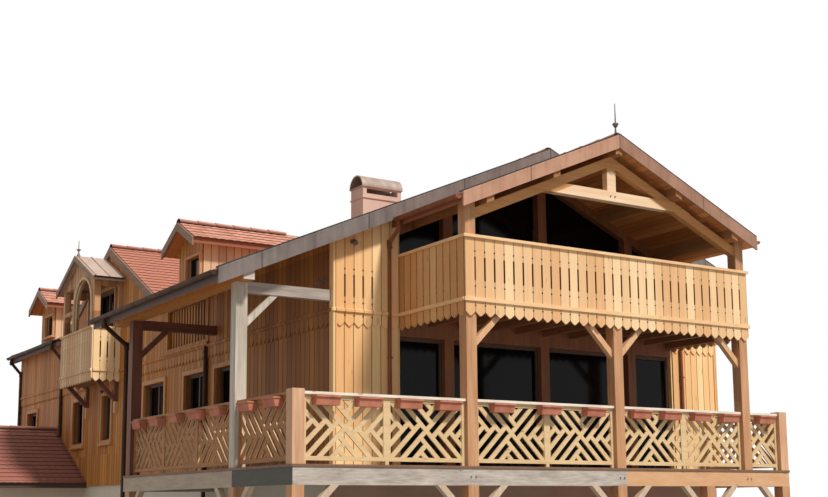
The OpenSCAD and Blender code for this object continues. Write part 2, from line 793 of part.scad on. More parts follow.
// Dormers and cross gable
module gable_shape(half, z0, ridge, pitch, centre) {
  polygon([[centre - half, z0], [centre + half, z0], [centre + half, ridge - pitch * half],
    [centre, ridge], [centre - half, ridge - pitch * half]]);
}

module dormer_walls() {
  x0 = -house_left;
  x1 = -house_left / 2;
  color(LARCH) for (d = DORMERS) difference() {
    along_x(x0, x1) gable_shape(dormer_half, ground_h, d[1] - tile_roof_t, tile_slope, d[0]);
    along_x(x0 + dormer_wall_t, x1 + eps)
      gable_shape(dormer_half - dormer_wall_t, ground_h - eps, d[1] + eps, tile_slope, d[0]);
    below_main_roof(x0 - eps, x1 + eps, d[0] - dormer_eave, d[0] + dormer_eave);
    dormer_window(d, x0 - eps, x0 + dormer_wall_t + eps);
  }
}

module dormer_roofs() {
  color(TILE) for (d = DORMERS) difference() {
    along_x(-house_left - dormer_verge + barge_t, -chimney_x + chimney_w)
      ridge_band(dormer_eave, d[1], tile_slope, tile_roof_t, d[0]);
    below_main_roof(-house_left - eave_over, 0, d[0] - dormer_eave - eps, d[0] + dormer_eave + eps);
  }
}

// The flush gable wall that stands on the left wall
module cross_gable_wall() {
  x0 = -house_left;
  x1 = -house_left + wall_t;
  color(LARCH) difference() {
    along_x(x0, x1) gable_shape(cross_half, ground_h, cross_z - tile_roof_t, tile_slope, cross_y);
    along_y(cross_y - cross_half - eps, cross_y + cross_half + eps) polygon([
      [x0 - eps, 0], [x1 + eps, 0], [x1 + eps, roof_under(x1 + eps)], [x0 - eps, roof_under(x0 - eps)]]);
    loggia_door(x0 - eps, x1 + eps);
  }
}

module cross_gable_roof() {
  x0 = -house_left;
  x1 = -house_left + wall_t;
  y0 = cross_y - cross_half - eps;
  y1 = cross_y + cross_half + eps;
  color(TILE) difference() {
    along_x(x0 - 60 + barge_t, 0) ridge_band(cross_half, cross_z, tile_slope, tile_roof_t, cross_y);
    along_y(y0, y1) polygon([[x0, 0], [x1, 0], [x1, roof_under(x1)], [x0, roof_under(x0)]]);
    below_main_roof(x1, eps, y0, y1);
  }
}

// A pair of barge boards on a small gable, mitred at the ridge
module gable_boards(x, half, ridge, pitch, depth, centre) {
  for (s = [-1, 1]) along_x(x, x + barge_t)
    slope_band(centre + s * joint_gap / 2, centre + s * half, ridge, pitch, depth, centre);
}

module side_barge_boards() {
  color(GREY_OAK) {
    for (d = DORMERS)
      gable_boards(-house_left - dormer_verge, dormer_eave, d[1], tile_slope, small_barge_h, d[0]);
    gable_boards(-house_left - 60, cross_half, cross_z, tile_slope, 200, cross_y);
    gable_boards(-house_left - loggia_out - loggia_verge, loggia_eave_half, loggia_z,
      loggia_slope, 130, loggia_y);
  }
}

// Loggia
module loggia_floor() {
  color(LARCH) box(-house_left - loggia_out, -house_left,
    loggia_y - loggia_half, loggia_y + loggia_half, floor_z - floor_t, floor_z);
}

module loggia_boards() {
  x0 = -house_left - loggia_out;
  y0 = loggia_y - loggia_half;
  y1 = loggia_y + loggia_half;
  side_w = loggia_out - joint_gap;
  color(LARCH) {
    along_x(x0 - board_t, x0) translate([y0 - board_t, 0]) carved_boards(y1 - y0 + 2 * board_t);
    for (y = [y0 - board_t, y1])
      along_y(y, y + board_t) translate([x0 + joint_gap, 0]) carved_boards(side_w);
    box(x0 - board_t - rail_out, x0, y0 - board_t, y1 + board_t, rail_z - rail_t, rail_z);
    for (y = [y0 - board_t - rail_out, y1])
      box(x0 + joint_gap, -house_left, y, y + board_t + rail_out, rail_z - rail_t, rail_z);
    box(x0 - board_t - trim_out, x0 - board_t, y0 - board_t, y1 + board_t, band_z - trim_h, band_z);
    for (y = [y0 - board_t - trim_out, y1 + board_t])
      box(x0 + joint_gap, -house_left, y, y + trim_out, band_z - trim_h, band_z);
  }
}

// The near side opening of the loggia, from its outer face inwards
module loggia_side_opening(d0, d1) {
  y = loggia_y - loggia_half;
  box(-house_left - loggia_out + loggia_wall_t + 40, -house_left - 90, y + d0, y + d1,
    floor_z + loggia_plate, loggia_eave_z() - door_head_gap);
}

function loggia_eave_z() = loggia_z - loggia_roof_t - loggia_slope * loggia_half;

// Posts of the outer face, and the two side frames behind them
module loggia_posts() {
  x0 = -house_left - loggia_out;
  y0 = loggia_y - loggia_half;
  y1 = loggia_y + loggia_half;
  z1 = arch_z - arch_low;
  color(LARCH) {
    for (p = [[y0, arch_y - arch_r], [arch_y + arch_r, arch_y + arch_r + arch_post], [y1 - loggia_post, y1]])
      box(x0, x0 + loggia_wall_t - seat_gap, p[0], p[1], floor_z, z1);
    for (far = [0, 1]) translate([0, far ? 2 * loggia_y : 0, 0]) mirror([0, far, 0]) difference() {
      box(x0 + loggia_wall_t, -house_left, y0, y0 + loggia_side_t, floor_z, loggia_eave_z());
      loggia_side_opening(-eps, loggia_side_t + eps);
    }
  }
}

// The boarded gable over the posts, with the round arch cut out of it
module loggia_arch() {
  x0 = -house_left - loggia_out;
  x1 = x0 + loggia_wall_t - seat_gap;
  y1 = loggia_y + loggia_half;
  arch_far = arch_y + arch_r + arch_post;
  color(LARCH) difference() {
    along_x(x0, x1)
      gable_shape(loggia_half, arch_z - arch_low, loggia_z - loggia_roof_t, loggia_slope, loggia_y);
    along_x(x0 - eps, x1 + eps) translate([arch_y, 0]) {
      translate([0, arch_z]) circle(arch_r);
      translate([-arch_r, arch_z - arch_low - eps]) square([2 * arch_r, arch_low + eps]);
    }
    box(x0 - eps, x1 + eps, arch_far, y1 - loggia_post, arch_z + eps, loggia_eave_z() - loggia_plate);
  }
}

module loggia_roof() {
  x0 = -house_left - loggia_out - loggia_verge + barge_t;
  color(COPPER) difference() {
    along_x(x0, -house_left) ridge_band(loggia_eave_half, loggia_z, loggia_slope, loggia_roof_t, loggia_y);
    along_x(-house_left - 60, -house_left + eps) ridge_band(cross_half, cross_z, tile_slope, 200, cross_y);
  }
}

// Chimney
module chimney_stack() {
  x0 = -chimney_x;
  x1 = -chimney_x + chimney_w;
  y1 = chimney_y + chimney_d;
  color(PLASTER) difference() {
    union() {
      along_y(chimney_y, y1) polygon([
        [x0, roof_top(x0)], [x1, roof_top(x1)], [x1, shoulder_z - ledge_t], [x0, shoulder_z - ledge_t]]);
      box(x0 - ledge_out, x1 + ledge_out, chimney_y - ledge_out, y1 + ledge_out,
        shoulder_z - slot_rise - 120, shoulder_z - slot_rise - 120 + ledge_t);
    }
    box(x0 + stack_t, x1 - stack_t, chimney_y + stack_t, y1 - stack_t, 0, shoulder_z);
    box(x0 + stack_t, x1 - stack_t, chimney_y - eps, y1 + eps,
      shoulder_z - slot_rise - ledge_t, shoulder_z - 2 * ledge_t);
  }
}

// A half barrel of sheet metal over the flue, open at both ends
module chimney_cap() {
  x0 = -chimney_x - cap_over;
  x1 = -chimney_x + chimney_w + cap_over;
  r = chimney_d / 2 + cap_over;
  yc = chimney_y + chimney_d / 2;
  color(COPPER) {
    difference() {
      box(x0, x1, yc - r, yc + r, shoulder_z - ledge_t, shoulder_z);
      box(-chimney_x + stack_t, -chimney_x + chimney_w - stack_t, yc - r + 2 * stack_t, yc + r - 2 * stack_t,
        shoulder_z - 2 * ledge_t, shoulder_z + eps);
    }
    difference() {
      along_x(x0, x1) translate([yc, shoulder_z - ledge_t]) circle(r);
      along_x(x0 - eps, x1 + eps) translate([yc, shoulder_z - ledge_t]) circle(r - cap_t);
      box(x0 - eps, x1 + eps, yc - 2 * r, yc + 2 * r, shoulder_z - 2 * r, shoulder_z - ledge_t);
    }
  }
}

// Rainwater goods
module gutter_ring() {
  difference() {
    circle(gutter_r);
    circle(gutter_r - gutter_t);
    translate([-2 * gutter_r, 0]) square(4 * gutter_r);
  }
}

module gutter_y(x, z, y0, y1) {
  along_y(y0, y1) translate([x, z]) gutter_ring();
  for (y = [y0, y1 - gutter_t]) along_y(y, y + gutter_t) translate([x, z]) difference() {
    circle(gutter_r);
    translate([-2 * gutter_r, 0]) square(4 * gutter_r);
  }
}

module gutters() {
  y0 = wall_front - verge;
  y1 = house_back + verge;
  drop = 12;
  color(COPPER) {
    gutter_y(-terrace_eave - gutter_r, roof_top(terrace_eave) - drop, y0, terrace_roof_end);
    gutter_y(-house_left - eave_over - gutter_r, roof_top(house_left + eave_over) - drop,
      terrace_roof_end + gutter_r, cross_y - cross_half - gutter_r);
    gutter_y(-house_left - eave_over - gutter_r, roof_top(house_left + eave_over) - drop,
      cross_y + cross_half + gutter_r, y1);
    gutter_y(house_right + eave_over + gutter_r, roof_top(house_right + eave_over) - drop, y0, y1);
    for (s = [-1, 1]) gutter_y(s * (front_eave + gutter_r), front_ridge_z - slope * front_eave - drop,
      -front_verge + barge_t, y0 - barge_t - joint_gap);
    for (s = [-1, 1]) along_x(-house_left - loggia_out - loggia_verge + barge_t, -house_left - 60)
      translate([loggia_y + s * (loggia_eave_half + gutter_r / 2),
          loggia_z - loggia_slope * loggia_eave_half - drop])
        scale([0.5, 0.5]) gutter_ring();
  }
}

// A round pipe between two points
module pipe(a, b, r = pipe_r) {
  v = b - a;
  translate(a) rotate([0, acos(v[2] / norm(v)), atan2(v[1], v[0])]) cylinder(r = r, h = norm(v));
}

// A pipe with a slanting neck: from a gutter's outlet to the wall, then straight down
module downpipe(top, knee, foot_z, r = pipe_r) {
  low = top - [0, 0, 110];
  pipe(top, low - [0, 0, 20], r);
  pipe(low, knee, r);
  pipe([knee[0], knee[1], knee[2] + 20], [knee[0], knee[1], foot_z], r);
  for (q = [low, knee]) translate(q - [0, 0, 60]) cylinder(r = r + 9, h = 120);
}

module downpipes() {
  eave_z = roof_top(house_left + eave_over) - gutter_r - 12;
  right_z = roof_top(house_right + eave_over) - gutter_r - 12;
  front_z = front_ridge_z - slope * front_eave - gutter_r - 12;
  wall_x = -house_left - pipe_r - 25;
  bay_x = front_eave + gutter_r;
  bay_y = wall_front - front_pipe_r - 25;
  deck_z = ground_h + deck_t;
  color(COPPER) {
    for (y = [side_deck_end + 185, cross_y + cross_half + 180, house_back - 100])
      box(wall_x, -house_left, y - pipe_clip / 2, y + pipe_clip / 2, band_z - 300, band_z - 300 + pipe_clip);
    for (y = [wall_front + 400, house_back - 400]) box(house_right, house_right + pipe_r + 25,
      y - pipe_clip / 2, y + pipe_clip / 2, band_z - 300, band_z - 300 + pipe_clip);
    for (x = [-bay_x, bay_x]) box(x - pipe_clip / 2, x + pipe_clip / 2,
      bay_y, wall_front, band_z - 300, band_z - 300 + pipe_clip);
    downpipe([-terrace_eave - gutter_r, side_deck_end - 100, roof_top(terrace_eave) - gutter_r - 12],
      [-terrace_left + 90, side_deck_end + 280, ground_h + 2500], 0);
    for (x = [-bay_x, bay_x]) downpipe([x, wall_front - 360, front_z], [x, bay_y, front_z - 330],
      deck_z, front_pipe_r);
    pipe([wall_x, side_deck_end + 185, band_z - 40], [wall_x, side_deck_end + 185, 0]);
    downpipe([-house_left - eave_over - gutter_r, cross_y + cross_half + 180, eave_z],
      [wall_x, cross_y + cross_half + 180, eave_z - neck_drop], annexe_ridge - 180);
    downpipe([-house_left - eave_over - gutter_r, house_back - 100, eave_z],
      [wall_x, house_back - 100, eave_z - neck_drop], 0);
    for (y = [wall_front + 400, house_back - 400])
      downpipe([house_right + eave_over + gutter_r, y, right_z],
        [house_right + pipe_r + 25, y, right_z - neck_drop], 0);
  }
}

// A pole with a flared cup and a spike
module finial(x, y, z, h) {
  translate([x, y, z]) rotate_extrude() polygon([
    [0, 0], [45, 0], [45, 10], [24, 60], [pole_r, h * 0.29], [34, h * 0.34], [54, h * 0.4], [46, h * 0.43],
    [pole_r + 4, h * 0.45], [pole_r, h * 0.5], [6, h], [0, h]]);
}

module finials() {
  color(ZINC) {
    finial(0, -front_verge + finial_in, front_ridge_z, finial_h);
    finial(-house_left - loggia_out - loggia_verge + finial_in, loggia_y, loggia_z, small_finial_h);
  }
}

// Annexe
module annexe_walls() {
  x0 = -house_left - annexe_out;
  half = annexe_half - annexe_wall_in;
  top = annexe_ridge - annexe_roof_t;
  color(PLASTER) difference() {
    union() {
      along_x(x0, -house_left) gable_shape(half, 0, top, annexe_slope, annexe_y);
      box(x0, -house_left + plaster_inset, annexe_y - half, annexe_y + half, 0, ground_h);
    }
    along_x(x0 + wall_t, -house_left + plaster_inset + eps)
      gable_shape(half - wall_t, -eps, top + annexe_roof_t, annexe_slope, annexe_y);
    box(x0 - eps, x0 + wall_t + eps, annexe_y - annexe_window, annexe_y + annexe_window,
      annexe_sill, annexe_head);
  }
}

module annexe_roof() {
  color(TILE) along_x(-house_left - annexe_out - annexe_verge, -house_left)
    ridge_band(annexe_half, annexe_ridge, annexe_slope, annexe_roof_t, annexe_y);
}

ground_front_wall();
ground_side_walls();
ground_back_wall();
terrace_floor_slab();
upper_floor_slab();
front_deck();
side_deck();
deck_beams();
deck_posts();
braces();
front_bays();
front_lintel();
front_mullions();
gable_frame();
front_glazing();
left_wall();
right_wall();
back_wall();
window_glass();
main_roof_left();
main_roof_right();
main_barge_boards();
front_roof();
front_barge_boards();
front_truss();
purlins();
balcony_posts();
balcony_floor();
balcony_boards();
balcony_rails();
terrace_posts();
front_trellis();
side_trellis();
flower_boxes();
tie_beams();
dormer_walls();
dormer_roofs();
cross_gable_wall();
cross_gable_roof();
side_barge_boards();
loggia_floor();
loggia_boards();
loggia_posts();
loggia_arch();
loggia_roof();
chimney_stack();
chimney_cap();
gutters();
downpipes();
finials();
annexe_walls();
annexe_roof();
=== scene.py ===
"""The finish of a timber chalet: wall boards, roof tiles, window frames, metalwork and materials.

The solid frame comes first, and each operator dresses one group of its pieces."""

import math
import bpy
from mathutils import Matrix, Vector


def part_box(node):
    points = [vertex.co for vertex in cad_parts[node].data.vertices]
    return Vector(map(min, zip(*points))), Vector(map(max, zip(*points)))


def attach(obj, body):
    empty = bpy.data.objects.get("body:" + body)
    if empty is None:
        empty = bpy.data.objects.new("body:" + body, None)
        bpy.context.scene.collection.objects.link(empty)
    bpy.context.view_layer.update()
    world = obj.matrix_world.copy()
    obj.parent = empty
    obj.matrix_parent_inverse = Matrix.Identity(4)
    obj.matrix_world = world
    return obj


bl_info = {
    "name": "Timber Chalet Finish",
    "version": (1, 0, 0),
    "blender": (4, 5, 0),
    "location": "View3D > Sidebar > Chalet",
    "description": "Dresses the solid chalet with boards, tiles, frames and finishes",
    "category": "Object",
}

from functools import partial

import bmesh
import bpy
import numpy as np
from bpy.props import FloatProperty, FloatVectorProperty, PointerProperty
from mathutils import Matrix, Vector

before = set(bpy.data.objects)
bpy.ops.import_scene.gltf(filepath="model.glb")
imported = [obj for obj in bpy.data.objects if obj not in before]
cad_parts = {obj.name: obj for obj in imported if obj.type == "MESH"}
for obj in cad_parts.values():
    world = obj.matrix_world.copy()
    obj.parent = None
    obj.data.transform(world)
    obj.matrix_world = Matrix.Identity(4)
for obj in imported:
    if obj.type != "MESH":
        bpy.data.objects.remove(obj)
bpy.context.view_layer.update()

# ---- places and measures of the house, in metres ----

WALL_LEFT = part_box("left_wall")[0].x
WALL_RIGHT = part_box("right_wall")[1].x
WALL_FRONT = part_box("front_bays")[0].y
WALL_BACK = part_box("back_wall")[1].y
GROUND_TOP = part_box("left_wall")[0].z
DECK_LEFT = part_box("front_deck")[0].x
DECK_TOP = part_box("front_deck")[1].z
FLOOR_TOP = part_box("balcony_floor")[1].z
RIDGE_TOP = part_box("main_roof_left")[1].z
ROOF_DEPTH = 0.17
ROOF_UNDER = RIDGE_TOP - ROOF_DEPTH

# Fall of each roof for one metre along the ground
ROOF_PITCH = math.tan(math.radians(23.6))
GABLE_PITCH = 0.53
ANNEXE_PITCH = 0.5385
LOGGIA_PITCH = 0.49

# Boards: the inner edge of the bays, the first edge on the side walls, the pointed ends and the
# band over them, and the slots and notches in the seams by the house's corners
BAY_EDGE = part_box("balcony_posts")[0].x - 0.035
FIRST_BOARD = WALL_FRONT - 0.02
BOARD_GAP = 0.006
BOARD_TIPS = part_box("balcony_boards")[0].z
TIP_DEPTH = 0.075
BAND_TOP = BOARD_TIPS + 0.29
BALCONY_BOARD = 0.185
SLOT, SLOT_WIDTH = (5.319, 5.689), 0.034
NOTCHES, NOTCH_HALF = (5.015, 5.231, 5.777), 0.014

# The cross gable's ridge line and the reach of its tiles; each dormer's middle and ridge height
CROSS_Y, CROSS_REACH = 12.92, (9.0, 16.5)
DORMERS = ((7.88, 7.71), (17.98, 7.86))
DORMER_HALF = 0.6
DORMER_FRONT = -4.581
GABLE_DEPTH = 0.12

# Windows as (middle, width), single holes as (near, far, sill, head), and the loggia's arch
SILL, HEAD = 3.55, 4.60
WINDOWS = [(5.92, 1.14), (7.51, 1.04), (9.735, 1.19), (12.825, 0.65), (14.98, 0.81), (19.13, 0.94)]
BACK_WINDOWS = [(-2.5, 1.14), (0.0, 1.14), (2.5, 1.14)]
BACK_UPPER = [(-1.3, 1.0), (1.3, 1.0)]
UPPER_OPENING = (6.91, 8.96, 5.23, 6.026)
LOGGIA_DOOR = (12.45, 13.85, 5.106, 7.106)
GLAZED_BAYS = [(-3.05, -2.155), (-1.965, -0.095), (0.095, 1.965), (2.155, 3.05)]
ARCH_CENTRE, ARCH_SPRING, ARCH_RADIUS = 12.83, 6.66, 0.64


def wall_holes(windows, sill, head):
    """A row of windows as holes."""
    return [(middle - width / 2, middle + width / 2, sill, head) for middle, width in windows]


SIDE_WINDOWS = wall_holes(WINDOWS, SILL, HEAD)
BACK_HOLES = wall_holes(BACK_WINDOWS, SILL, HEAD) + wall_holes(BACK_UPPER, FLOOR_TOP + 1.0, FLOOR_TOP + 2.0)


def dormer_window(middle, ridge):
    """The hole in a dormer's face."""
    return middle - 0.56, middle + 0.14, ridge - 1.26, ridge - 0.73


def roof_top(x):
    """Height of the main roof's top face at a distance from the ridge line."""
    return RIDGE_TOP - ROOF_PITCH * abs(x)


def roof_under(x):
    """Height of the main roof's lower face at a distance from the ridge line."""
    return ROOF_UNDER - ROOF_PITCH * abs(x)


def board_step(u0, u1, pitch):
    """Width of a board when boards of about a pitch fill a width."""
    return (u1 - u0) / max(1, round((u1 - u0) / pitch))


def board_middles(u0, u1, pitch):
    """Width of the boards that fill a width, and the middle of each."""
    step = board_step(u0, u1, pitch)
    return step, [u0 + (i + 0.5) * step for i in range(round((u1 - u0) / step))]


def board_counter(front, side, pitch):
    """A test of place that counts boards: along x on front faces and along y on side faces."""
    (x0, x1), (y0, y1) = front, side
    dx, dy = board_step(x0, x1, pitch), board_step(y0, y1, pitch)
    return lambda f: (f.x - x0) / dx + ((f.y - y0) / dy - (f.x - x0) / dx) * f.faces_x


# ---- colours ----

def colour(value):
    """A colour written as on screen, in the linear numbers that a shader takes."""
    if not isinstance(value, str):
        return tuple(value)
    parts = [int(value[i:i + 2], 16) / 255 for i in (0, 2, 4)]
    return tuple(p / 12.92 if p <= 0.04045 else ((p + 0.055) / 1.055) ** 2.4 for p in parts) + (1.0,)


def tone(value, factor):
    """A colour made darker or lighter."""
    return tuple(min(1.0, c * factor) for c in colour(value)[:3]) + (1.0,)


def between(first, second):
    """The colour halfway between two."""
    return tuple(0.5 * (a + b) for a, b in zip(colour(first), colour(second)))


# ---- node trees ----

class Value:
    """A socket that can be used in a formula: each operation adds its Math node."""

    def __init__(self, tree, socket):
        self.tree, self.socket = tree, socket

    def _math(self, operation, *others):
        return self.tree.add("ShaderNodeMath", {"operation": operation}, dict(enumerate((self,) + others)))

    def __add__(self, other): return self._math("ADD", other)
    def __sub__(self, other): return self._math("SUBTRACT", other)
    def __mul__(self, other): return self._math("MULTIPLY", other)
    def __truediv__(self, other): return self._math("DIVIDE", other)
    def __rsub__(self, other): return self * -1.0 + other
    def __gt__(self, other): return self._math("GREATER_THAN", other)
    def __lt__(self, other): return self._math("LESS_THAN", other)
    def __abs__(self): return self._math("ABSOLUTE")
    __radd__, __rmul__ = __add__, __mul__

    def floor(self): return self._math("FLOOR")
    def fraction(self): return self._math("FRACT")
    def cosine(self): return self._math("COSINE")

    def clamp(self, low, high):
        """Rises from 0 at low to 1 at high."""
        inputs = {0: self, 1: low, 2: high, 3: 0.0, 4: 1.0}
        return self.tree.add("ShaderNodeMapRange", {"clamp": True}, inputs)

    def outputs(self, *keys):
        """The outputs of the value's node that have these names or numbers."""
        return [Value(self.tree, self.socket.node.outputs[key]) for key in keys]


class Tree:
    """A node tree that is filled by one method, with settings first and then sockets."""

    def __init__(self, tree):
        self.tree = tree

    def add(self, kind, settings=None, inputs=None, output=0):
        """Makes a node and returns one of its outputs. A ramp's stops are (position, colour)."""
        node = self.tree.nodes.new(kind)
        for name, setting in (settings or {}).items():
            if name == "stops":
                while len(node.color_ramp.elements) < len(setting):
                    node.color_ramp.elements.new(0.5)
                for element, (position, value) in zip(node.color_ramp.elements, setting):
                    element.position, element.color = position, colour(value)
            else:
                setattr(node, name, setting)
        for key, value in (inputs or {}).items():
            self.feed(node.inputs[key], value)
        return Value(self, node.outputs[output] if len(node.outputs) else None)

    def feed(self, socket, value):
        if isinstance(value, Value):
            self.tree.links.new(value.socket, socket)
        else:
            socket.default_value = colour(value) if socket.type == "RGBA" else value

    def shown(self):
        """1 for a ray that sees the background, straight or by way of metal or glass."""
        rays = self.add("ShaderNodeLightPath")
        camera, glossy, through = rays.outputs("Is Camera Ray", "Is Glossy Ray", "Is Transmission Ray")
        return (camera + glossy + through).clamp(0.0, 1.0)


class Finish(Tree):
    """A material's tree, with the patterns that this house's finishes share."""

    def __init__(self, name):
        self.material = bpy.data.materials.get(name) or bpy.data.materials.new(name)
        self.material.use_nodes = True
        super().__init__(self.material.node_tree)
        self.tree.nodes.clear()
        self.place = self.add("ShaderNodeTexCoord", output=3)
        self.x, self.y, self.z = self.split(self.place)
        self.nx, self.ny, self.nz = self.split(self.add("ShaderNodeNewGeometry", output=1))
        self.faces_x = abs(self.nx) > 0.6
        self.along = self.x + (self.y - self.x) * self.faces_x

    def split(self, vector):
        return self.add("ShaderNodeSeparateXYZ", inputs={0: vector}).outputs(0, 1, 2)

    def join(self, x, y, z):
        return self.add("ShaderNodeCombineXYZ", inputs={0: x, 1: y, 2: z})

    def noise(self, vector, scale=1.0, detail=3.0, rough=0.55):
        inputs = {"Vector": vector, "Scale": scale, "Detail": detail, "Roughness": rough}
        return self.add("ShaderNodeTexNoise", inputs=inputs)

    def chance(self, vector):
        return self.add("ShaderNodeTexWhiteNoise", {"noise_dimensions": "3D"}, {"Vector": vector})

    def mix(self, factor, first, second):
        return self.add("ShaderNodeMix", {"data_type": "RGBA"}, {0: factor, 6: first, 7: second}, output=2)

    def ramp(self, factor, *stops):
        return self.add("ShaderNodeValToRGB", {"stops": stops}, {0: factor})

    def bump(self, height, distance, strength):
        inputs = {"Height": height, "Distance": distance, "Strength": strength}
        return self.add("ShaderNodeBump", inputs=inputs)

    def surface(self, base, roughness, normal=None, metallic=0.0, gloss=0.5):
        inputs = {"Base Color": base, "Roughness": roughness,
                  "Metallic": metallic, "Specular IOR Level": gloss}
        if normal is not None:
            inputs["Normal"] = normal
        self.add("ShaderNodeOutputMaterial", inputs={0: self.add("ShaderNodeBsdfPrincipled", inputs=inputs)})
        return self.material


def timber(name, light, deep, grain="z", boards=None, weather=0.0, grey=None, patches=()):
    """Sawn timber: long grain, knots, a tint for each board, painted shade in the board seams and grey where
    it has weathered.

    Boards is the place that counts boards, if any. Each patch is a test of place, with the two
    tones that the timber has there instead, some of them painted light or painted shade. Level grain runs
    along the wall that it is on."""
    f = Finish(name)
    across, length, third = {"z": lambda: (f.along, f.z, f.y), "x": lambda: (f.z + f.y, f.x, f.y),
                             "y": lambda: (f.z + f.x, f.y, f.x),
                             "level": lambda: (f.z, f.x + f.y, f.x - f.y)}[grain]()
    streaks = f.noise(f.join(across * 42.0, length * 1.6, third * 5.0), detail=5.0)
    fine = f.noise(f.join(across * 160.0, length * 7.0, third * 30.0))
    cloud = f.noise(f.place, 0.7)
    rings = f.join(across * 5.5, length * 1.3, third)
    knot = 1.0 - f.add("ShaderNodeTexVoronoi", inputs={"Vector": rings, "Scale": 1.0}).clamp(0.03, 0.10)
    broad = f.noise(f.join(across * 13.0, length * 0.9, third * 2.0))
    tint = streaks * 0.35 + broad * 0.35 + fine * 0.1 + cloud * 0.2
    height = streaks * 0.6 + fine * 0.4
    if boards:
        cell = boards(f)
        chance = f.chance(f.join(cell.floor(), (length * 0.31).floor(), 0.5))
        tint = tint * 0.65 + chance * 0.36
        seam = (abs(cell.fraction() - 0.5) + f.faces_x * 0.03).clamp(0.445, 0.485)
        height = height - seam * 2.5

    def shades(pale, dark):
        return f.ramp(tint, (0.34, dark), (0.52, between(pale, dark)), (0.70, pale))

    base = shades(light, deep)
    for test, pale, dark in patches:
        base = f.mix(test(f), base, shades(pale, dark))
    base = f.mix(knot * 0.6, base, tone(deep, 0.36))
    if boards:
        # painted shade: the seams between boards are darkened as if shadowed
        base = f.mix(seam * 0.8, base, tone(deep, 0.2))
    if weather:
        worn = (cloud * 0.5 + broad * 0.4 + streaks * 0.3).clamp(0.72 - 0.4 * weather, 1.0 - 0.3 * weather)
        base = f.mix(worn * weather, base, grey)
    return f.surface(base, streaks * 0.22 + 0.55, f.bump(height, 0.0035, 0.7))


def clay(name, light, deep, soot_and_shade):
    """Clay tiles: each tile has its own tint, with large sooty and lichen patches.

    The slopes of the cross gable are darker, and what faces down or sideways is painted shade, as under each
    tile's lower edge."""
    f = Finish(name)
    tint = f.add("ShaderNodeAttribute", {"attribute_name": "tint"}, output=2)
    cloud = f.noise(f.place, 0.9, 4.0)
    grit = f.noise(f.place, 45.0, 4.0, 0.7)
    mixed = tint * 0.34 + cloud * 0.36 + grit * 0.3
    base = f.ramp(mixed, (0.15, deep), (0.5, between(light, deep)), (0.85, light))
    base = f.mix((cloud * 0.7 + grit * 0.3).clamp(0.52, 0.78) * 0.55, base, soot_and_shade)
    near, far = CROSS_REACH
    base = f.mix((f.y > near) * (f.y < far) * (f.x < -0.3) * 0.85, base, deep)
    # painted shade: faces that point down or sideways, as under each tile's edge, are darkened
    base = f.mix((f.nz < 0.5) * 0.8, base, tone(soot_and_shade, 0.35))
    return f.surface(base, grit * 0.2 + 0.68, f.bump(grit, 0.003, 0.6))


def clay_pot(name, base, deep):
    """Plain terracotta: chalky bloom, damp marks and fine grit."""
    f = Finish(name)
    cloud = f.noise(f.place, 6.0, 4.0)
    grit = f.noise(f.place, 120.0, 3.0, 0.7)
    bloom = (cloud * 0.7 + grit * 0.3).clamp(0.35, 0.7)
    return f.surface(f.mix(bloom, deep, base), 0.85, f.bump(grit, 0.002, 0.5))


def roof_slab(name, under_light, under_deep, edge, pitch=0.12):
    """A roof slab: close boards on its underside and dark felt under the tiles."""
    f = Finish(name)
    under = (f.nz * -1.0) > 0.4
    cell = f.x / pitch
    tint = f.chance(f.join(cell.floor(), (f.y * 0.25).floor(), 0.5))
    streaks = f.noise(f.join(f.x * 38.0, f.y * 1.4, 0.0), detail=4.0)
    seam = abs(cell.fraction() - 0.5).clamp(0.46, 0.49)
    wood = f.ramp(tint * 0.4 + streaks * 0.6, (0.3, under_deep), (0.75, under_light))
    wood = f.mix(seam * 0.8, wood, tone(under_deep, 0.15))
    felt = f.mix(f.noise(f.place, 3.0), edge, tone(edge, 0.7))
    return f.surface(f.mix(under, felt, wood), 0.7, f.bump(streaks - seam * 2.0, 0.003, 0.6))


def sheet_metal(name, base, stain, roughness, metallic, laps=0.0, patches=(), gloss=0.5):
    """Weathered sheet: streaks that run down, blotches, a few scuffs and laps between its lengths."""
    f = Finish(name)
    runs = f.noise(f.join(f.x * 9.0, f.y * 9.0, f.z * 0.9), detail=4.0)
    blotch = f.noise(f.place, 2.2, 4.0)
    fine = f.noise(f.place, 70.0, 2.0)
    mask = (runs * 0.5 + blotch * 0.5).clamp(0.42, 0.68)
    shade = f.mix(mask * 0.8, base, stain)
    for test, pale, dark in patches:
        shade = f.mix(test(f), shade, f.mix(mask * 0.8, pale, dark))
    shade = f.mix(fine.clamp(0.6, 0.8) * 0.25, shade, tone(base, 1.7))
    height = blotch * 0.7 + fine * 0.3
    if laps:
        lap = abs((f.x / laps).fraction() - 0.5).clamp(0.488, 0.497)
        shade = f.mix(lap * 0.7, shade, tone(stain, 0.35))
        height = height - lap
    return f.surface(shade, mask * 0.2 + roughness, f.bump(height, 0.004, 0.35), metallic, gloss)


def rendered(name, base, stain):
    """Smooth render on masonry: trowel waves, pores and damp near the ground."""
    f = Finish(name)
    wave = f.noise(f.place, 1.7, 4.0)
    grain = f.noise(f.place, 90.0, 3.0, 0.7)
    damp = 1.0 - (f.z + wave * 0.7).clamp(0.25, 1.3)
    shade = f.mix((wave * 0.7 + grain * 0.3).clamp(0.4, 0.75) * 0.6, base, stain)
    shade = f.mix(damp * 0.45, shade, tone(stain, 0.55))
    return f.surface(shade, 0.88, f.bump(wave * 0.4 + grain * 0.6, 0.004, 0.5))


def pane(name, base, reflected_sky):
    """A dark window pane that mirrors, with faint waves in the glass and patches of painted sky reflection.
    """
    f = Finish(name)
    wave = f.noise(f.place, 1.1, 2.0)
    # painted reflection: patches of sky colour in the glass
    shade = f.mix(wave.clamp(0.45, 0.75) * 0.5, base, reflected_sky)
    return f.surface(shade, wave * 0.05 + 0.06, f.bump(wave, 0.01, 0.12), gloss=0.12)


# ---- meshes ----

